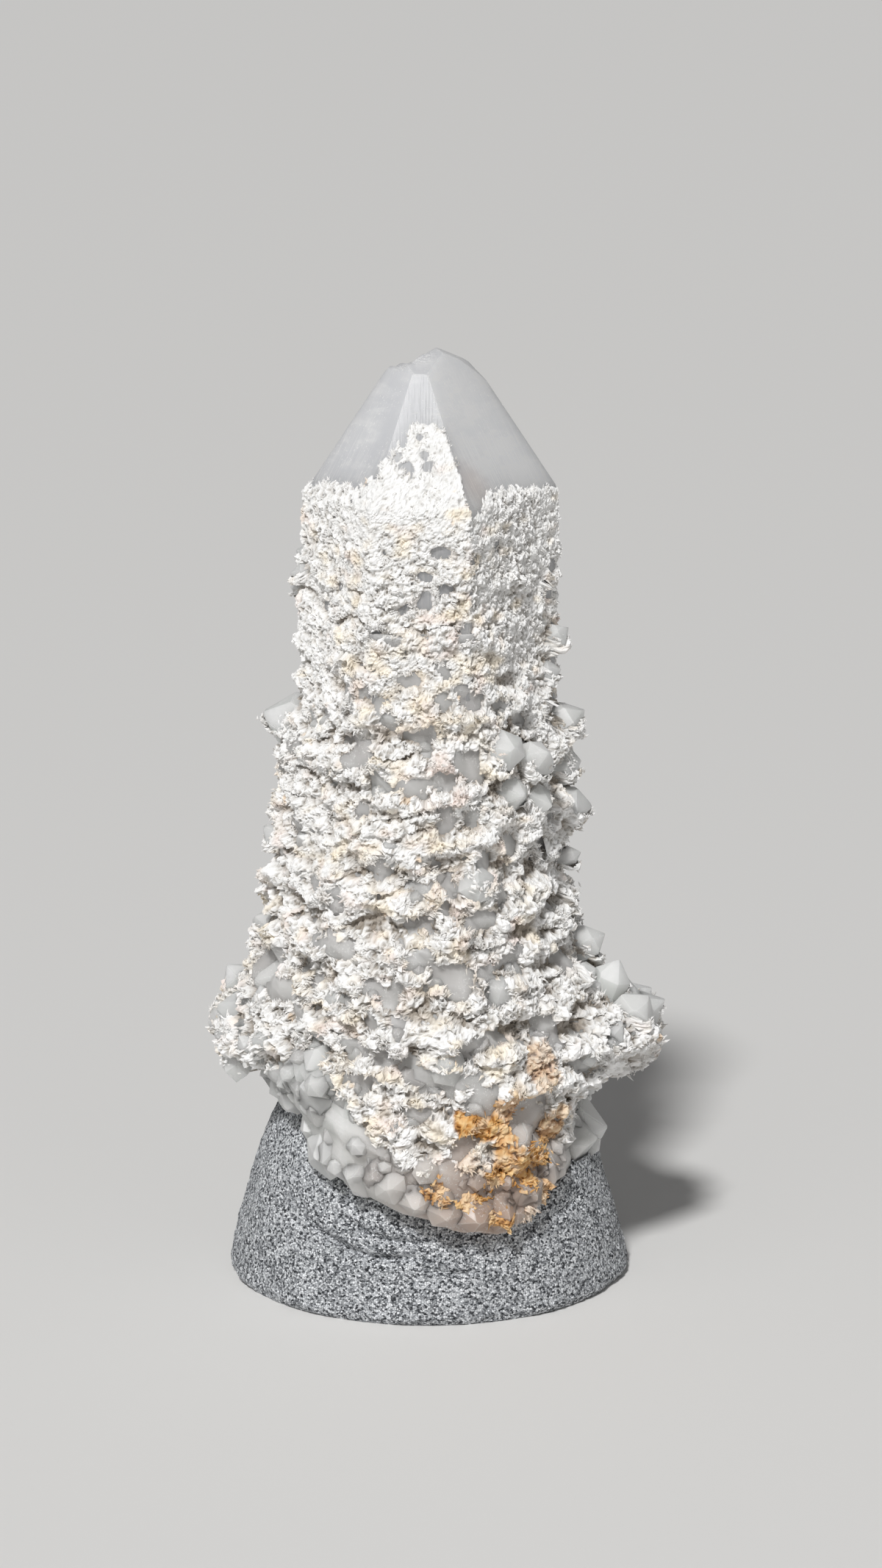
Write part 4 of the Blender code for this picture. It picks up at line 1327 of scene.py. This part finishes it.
def unit(vectors):
    return vectors / np.maximum(np.linalg.norm(vectors, axis=-1, keepdims=True), 1e-9)


normals = grid_normals(coat_form)
beside = np.roll(outer_sheet, -1, axis=1)[:-1] - outer_sheet[:-1]
cell_area = np.linalg.norm(np.cross(beside, outer_sheet[1:] - outer_sheet[:-1]), axis=-1)
print("area of the crust in mm2:", round(float(cell_area[covered].sum())))


# %% Scattering the blades
def towards_edge():
    """At each grid place, the way along the surface in which the crust ends soonest."""
    smooth = blurred(margin, EDGE_BLUR)
    across = np.roll(smooth, -1, axis=1) - np.roll(smooth, 1, axis=1)
    across = across / (2 * np.radians(360 / CRUST_COLUMNS) * body_reach)
    upward = np.gradient(smooth, axis=0) / CRUST_STEP
    level = facing(AZ + 90)
    return unit(-level * across[..., None] - upward[..., None] * np.array((0, 0, 1.0)))


def scatter_rosettes():
    """For every rosette its middle, the surface's normal, the way to the edge, and the marks there."""
    rng = np.random.default_rng(SEED)
    sizes = keyed(BLADES, HI[:-1])
    front = smooth_step((FRONT_FROM - outward[:-1, :, 1]) / FRONT_OVER)
    edge = smooth_step((EDGE_NEAR - margin) / EDGE_FADE)
    density = sizes[..., 3] * (BACK_SHARE + (1 - BACK_SHARE) * front)
    density = density * (INNER_SHARE + EDGE_SHARE * edge[:-1]) * (margin[:-1] > 0)
    rosettes = rng.poisson(cell_area * density / BLADES_IN_ROSETTE)
    row, column = np.nonzero(rosettes)
    repeat = rosettes[row, column]
    row, column = np.repeat(row, repeat), np.repeat(column, repeat)
    count = len(row)
    across, up = rng.random((2, count, 1))
    after = (column + 1) % CRUST_COLUMNS

    def at(grid):
        low = grid[row, column] * (1 - across) + grid[row, after] * across
        high = grid[row + 1, column] * (1 - across) + grid[row + 1, after] * across
        return low * (1 - up) + high * up

    marks = at(np.stack([hollow_mark, stain_mark, warm_mark, edge, HI], -1))
    return rng, at(outer_sheet), unit(at(normals)), at(towards_edge()), marks


rng, rosette_middle, rosette_normal, rosette_edge_way, rosette_marks = scatter_rosettes()
print("rosettes:", len(rosette_middle))

# %% Blades from rosettes
BLADE_RISE, BLADE_LEAST_RISE = 0.42, 0.12
BLADE_ROOT, BLADE_SUNK = 0.4, 0.18
ROSETTE_LEAN, GRASS_LEAN, BLADE_SLIDE = 0.45, 0.8, 0.38
BLADE_LENGTHS, ROSETTE_LENGTHS, BLADE_WIDTHS = (0.65, 1.25), (0.8, 1.2), (0.7, 1.25)
# Where along a blade it is widest, by how much one side's corner lies nearer the root, where it is thickest
WAIST, WAIST_SKEW, THICKEST = (0.28, 0.5), 0.08, 0.4
BLADE_TONE, BLADE_TONE_SPREAD = 0.6, 0.26
LEAF_CORNERS = np.array([
    (0, 1, 3), (1, 5, 3), (5, 2, 3), (2, 0, 3), (1, 0, 4), (5, 1, 4), (2, 5, 4), (0, 2, 4),
])
# Painted shade along a leaf, darkest at its root. How dark each of its six points is: its root, its two
# sides, its two flat sides, its tip
LEAF_SHADE = (0.9, 0.12, 0.12, 0.25, 0.35, -0.1)


def blade_ways(rng, own, normal, height, lean):
    """Which way each blade points: out, along its rosette, level or up, and over a near edge."""
    total = len(own)
    rosette_lean = unit(rng.normal(size=(len(rosette_middle), 3)))[own] * ROSETTE_LEAN
    level = keyed(LEVEL_SHARE, height)[:, None]
    level_way = unit(np.cross(normal, (0, 0, 1.0))) * rng.choice((-1.0, 1.0), (total, 1)) * level
    wild = unit(rng.normal(size=(total, 3))) * ROSETTE_SPREAD
    over_edge = rosette_edge_way[own] * (rosette_marks[own, 3] * EDGE_LEAN)[:, None]
    upright = lean[:, None] * np.array((0, 0, GRASS_LEAN))
    way = unit(normal * BLADE_RISE + rosette_lean + wild + level_way + over_edge + upright)
    rise = np.sum(way * normal, axis=-1)
    return unit(way + normal * np.maximum(BLADE_LEAST_RISE - rise, 0)[:, None])


def make_blades():
    """Every blade's six points in mm, and its marks and height."""
    own = np.repeat(np.arange(len(rosette_middle)), BLADES_IN_ROSETTE)
    total = len(own)
    normal, height = rosette_normal[own], rosette_marks[own, 4]
    length, width, lean, _ = keyed(BLADES, height).T
    way = blade_ways(rng, own, normal, height, lean)
    length = length * rng.uniform(*BLADE_LENGTHS, total)
    length = length * rng.uniform(*ROSETTE_LENGTHS, len(rosette_middle))[own]
    half = (width * rng.uniform(*BLADE_WIDTHS, total) / 2)[:, None]
    slide = rng.normal(size=(total, 3)) * BLADE_SLIDE * length[:, None]
    slide = slide - normal * np.sum(slide * normal, axis=-1, keepdims=True)
    root = rosette_middle[own] + slide - way * (length * BLADE_ROOT)[:, None] - normal * BLADE_SUNK
    flat = unit(np.cross(way, unit(rng.normal(size=(total, 3)))))
    side, run = np.cross(way, flat), way * length[:, None]
    waist = rng.uniform(*WAIST, total)[:, None]
    thick = flat * BLADE_THICKNESS / 2
    points = np.stack([
        root,
        root + run * waist + side * half,
        root + run * (waist - WAIST_SKEW) - side * half,
        root + run * THICKEST + thick,
        root + run * THICKEST - thick,
        root + run,
    ], axis=1)
    tone = np.clip(rng.normal(BLADE_TONE, BLADE_TONE_SPREAD, total), 0, 1)
    marks = {
        "tone": np.repeat(tone[:, None], 6, axis=1),
        "hollow": np.clip(rosette_marks[own, 0][:, None] * HOLLOW_SHADE + np.array(LEAF_SHADE), 0, 1),
        "warm": np.repeat(rosette_marks[own, 2][:, None], 6, axis=1),
        "stain": np.repeat(rosette_marks[own, 1][:, None], 6, axis=1),
    }
    return points, marks, height


blade_points, blade_marks, blade_height = make_blades()
STAINED_FROM = 0.3
is_stained = blade_marks["stain"][:, 0] > STAINED_FROM
print("blades:", len(blade_points))


def add_blades(name, chosen):
    count = int(chosen.sum())
    faces = (np.arange(count)[:, None, None] * 6 + LEAF_CORNERS).reshape(-1, 3)
    marks = {mark: values[chosen].ravel() for mark, values in blade_marks.items()}
    add_piece(name, blade_points[chosen].reshape(-1, 3), faces.tolist(), white_finish, marks)


for band, low, high in BANDS:
    in_band = ~is_stained & (blade_height >= low) & (blade_height < high)
    add_blades(f"crust_blades_{band}", in_band)
add_blades("stained_crust_blades", is_stained)

# %% [markdown]
# ## The stand
#
# The stand is cast from light and dark grey grains in a binder. Its form is the solid's own, seat and all,
# so the solid is copied and remeshed evenly, and every point is pushed in or out by grains of noise and by
# a few shallow folds.

# %% The finish of the stand
GRAIN_SIZE = 0.42
# The grains' ramp, from the darkest to the lightest, and the seams between them
GRAIN_RAMP = (
    (0.31, rgb(46, 48, 52)[:3]), (0.43, rgb(140, 143, 147)[:3]),
    (0.56, rgb(200, 203, 207)[:3]), (0.72, rgb(249, 251, 254)[:3]),
)
GRAIN_SEAM = rgb(70, 72, 74)
# The finest noise is stretched sideways a little
GRAIN_STRETCH = (0.6, 0.6, 1.0)


def stand_finish():
    finish, place, shader = new_finish("grey_grains", {"IOR": 1.45})
    grain_inputs = {"Vector": place, "Scale": 1 / (GRAIN_SIZE * MM)}
    cell = place.node("ShaderNodeTexVoronoi", {"feature": "F1"}, grain_inputs, output="Color")
    tone = place.node("ShaderNodeSeparateColor", None, {0: cell})
    distance = place.node("ShaderNodeTexVoronoi", {"feature": "DISTANCE_TO_EDGE"}, grain_inputs)
    level = place.vector("MULTIPLY", place, GRAIN_STRETCH)
    fine = place.noise(level, 0.34, 2, 0.7)
    mixed = tone * 0.4 + fine * 0.75 - 0.07
    color = place.node("ShaderNodeValToRGB", {"stops": GRAIN_RAMP}, {0: mixed})
    gap = distance.between(0.0, 0.1)
    color = place.mix(gap * 0.4 + 0.6, GRAIN_SEAM, color)
    bump_inputs = {"Strength": 1.0, "Distance": 0.3 * MM, "Height": gap * 0.4 + fine}
    bump = place.node("ShaderNodeBump", None, bump_inputs)
    place.join(shader.inputs, "Base Color", color)
    place.join(shader.inputs, "Roughness", 0.85 + fine * 0.15)
    place.join(shader.inputs, "Normal", bump)
    return finish


# %% The stand's grains
STAND_VOXEL = 0.56
GRAINS = ((9, 0.5), (1.7, 0.20), (0.95, 0.20))
# Shallow folds left by moulding: azimuth, height, rise for each degree, half width in degrees, depth
FOLDS = (
    (-112, 13.5, -0.1, 18, 2.0), (-106, 17.0, -0.12, 14, 1.6), (-84, 10.5, -0.08, 9, 1.0),
    (-40, 19, 0.1, 10, 0.8),
)
FOLD_WIDTH, FOLD_BEND = 0.8, 0.006


def grey_stand():
    stand = bpy.data.objects.new("granular_stand", frame["nodes"]["stand"].data.copy())
    bpy.context.scene.collection.objects.link(stand)
    remesh = stand.modifiers.new("even", "REMESH")
    remesh.mode = "VOXEL"
    remesh.voxel_size = STAND_VOXEL * MM
    with_modifiers(stand)
    count = len(stand.data.vertices)
    points, normals = np.zeros(count * 3), np.zeros(count * 3)
    stand.data.vertices.foreach_get("co", points)
    stand.data.vertex_normals.foreach_get("vector", normals)
    points, normals = points.reshape(-1, 3) / MM, normals.reshape(-1, 3)
    push = sum(swell(points, size, (4, 8, 1)) * depth for size, depth in GRAINS)
    for azimuth, height, rise, width, depth in FOLDS:
        off = around(np.degrees(np.arctan2(points[:, 1], points[:, 0])) - azimuth)
        line = height + rise * off + FOLD_BEND * off**2
        push -= np.exp(-((points[:, 2] - line) / FOLD_WIDTH) ** 2 - (off / width) ** 4) * depth
    push = push * smooth_step(points[:, 2] / 1.0)
    points += normals * push[:, None]
    stand.data.vertices.foreach_set("co", (points * MM).ravel())
    stand.data.update()
    stand.data.materials.clear()
    stand.data.materials.append(stand_finish())
    return seat(stand, "stand")


grey_stand()

# %% [markdown]
# ## Floor and light
#
# The floor is plain and pale. A soft sun from the front left gives the clods their shade, and two large
# panels give the quartz something to glint in.

# %% The floor
FLOOR_SIZE = 16


def add_floor():
    constants = {"Roughness": 0.9, "Base Color": rgb(222, 221, 219), "Specular IOR Level": 0.2}
    finish = new_finish("pale_floor", constants)[0]
    mesh = bpy.data.meshes.new("floor")
    corners = [(x * FLOOR_SIZE, y * FLOOR_SIZE, 0) for x, y in ((-1, -1), (1, -1), (1, 1), (-1, 1))]
    mesh.from_pydata(corners, [], [(0, 1, 2, 3)])
    mesh.materials.append(finish)
    floor = bpy.data.objects.new("floor", mesh)
    bpy.context.scene.collection.objects.link(floor)


add_floor()

# %% The light
SUN_STRENGTH, SUN_ANGLE = 2.68, 8
SUN_TURN = (41, 0, -17)
PANEL_POWERS, PANEL_SIZE = (0.3, 0.2), 0.5
PANEL_PLACES = ((-300, -420, 420), (340, -380, 260))
AIR = 0.145


def add_light(name, kind, energy, place, aim):
    data = bpy.data.lights.new(name, kind)
    data.energy = energy
    light = bpy.data.objects.new(name, data)
    light.location = place
    light.rotation_euler = aim
    bpy.context.scene.collection.objects.link(light)
    return data


sun = add_light("sun", "SUN", SUN_STRENGTH, (0, 0, 1), [math.radians(turn) for turn in SUN_TURN])
sun.angle = math.radians(SUN_ANGLE)
for number, (place, power) in enumerate(zip(PANEL_PLACES, PANEL_POWERS)):
    panel_place = Vector(place) * MM
    aim = (Vector((0, 0, 0.1)) - panel_place).to_track_quat("-Z", "Y").to_euler()
    panel = add_light(f"panel_{number}", "AREA", power, panel_place, aim)
    panel.size = PANEL_SIZE

world = bpy.data.worlds.new("studio")
world.use_nodes = True
world.node_tree.nodes["Background"].inputs["Color"].default_value = (AIR, AIR, AIR * 1.01, 1)
bpy.context.scene.world = world
bpy.context.scene.view_settings.view_transform = "Standard"
bpy.context.scene.view_settings.look = "None"
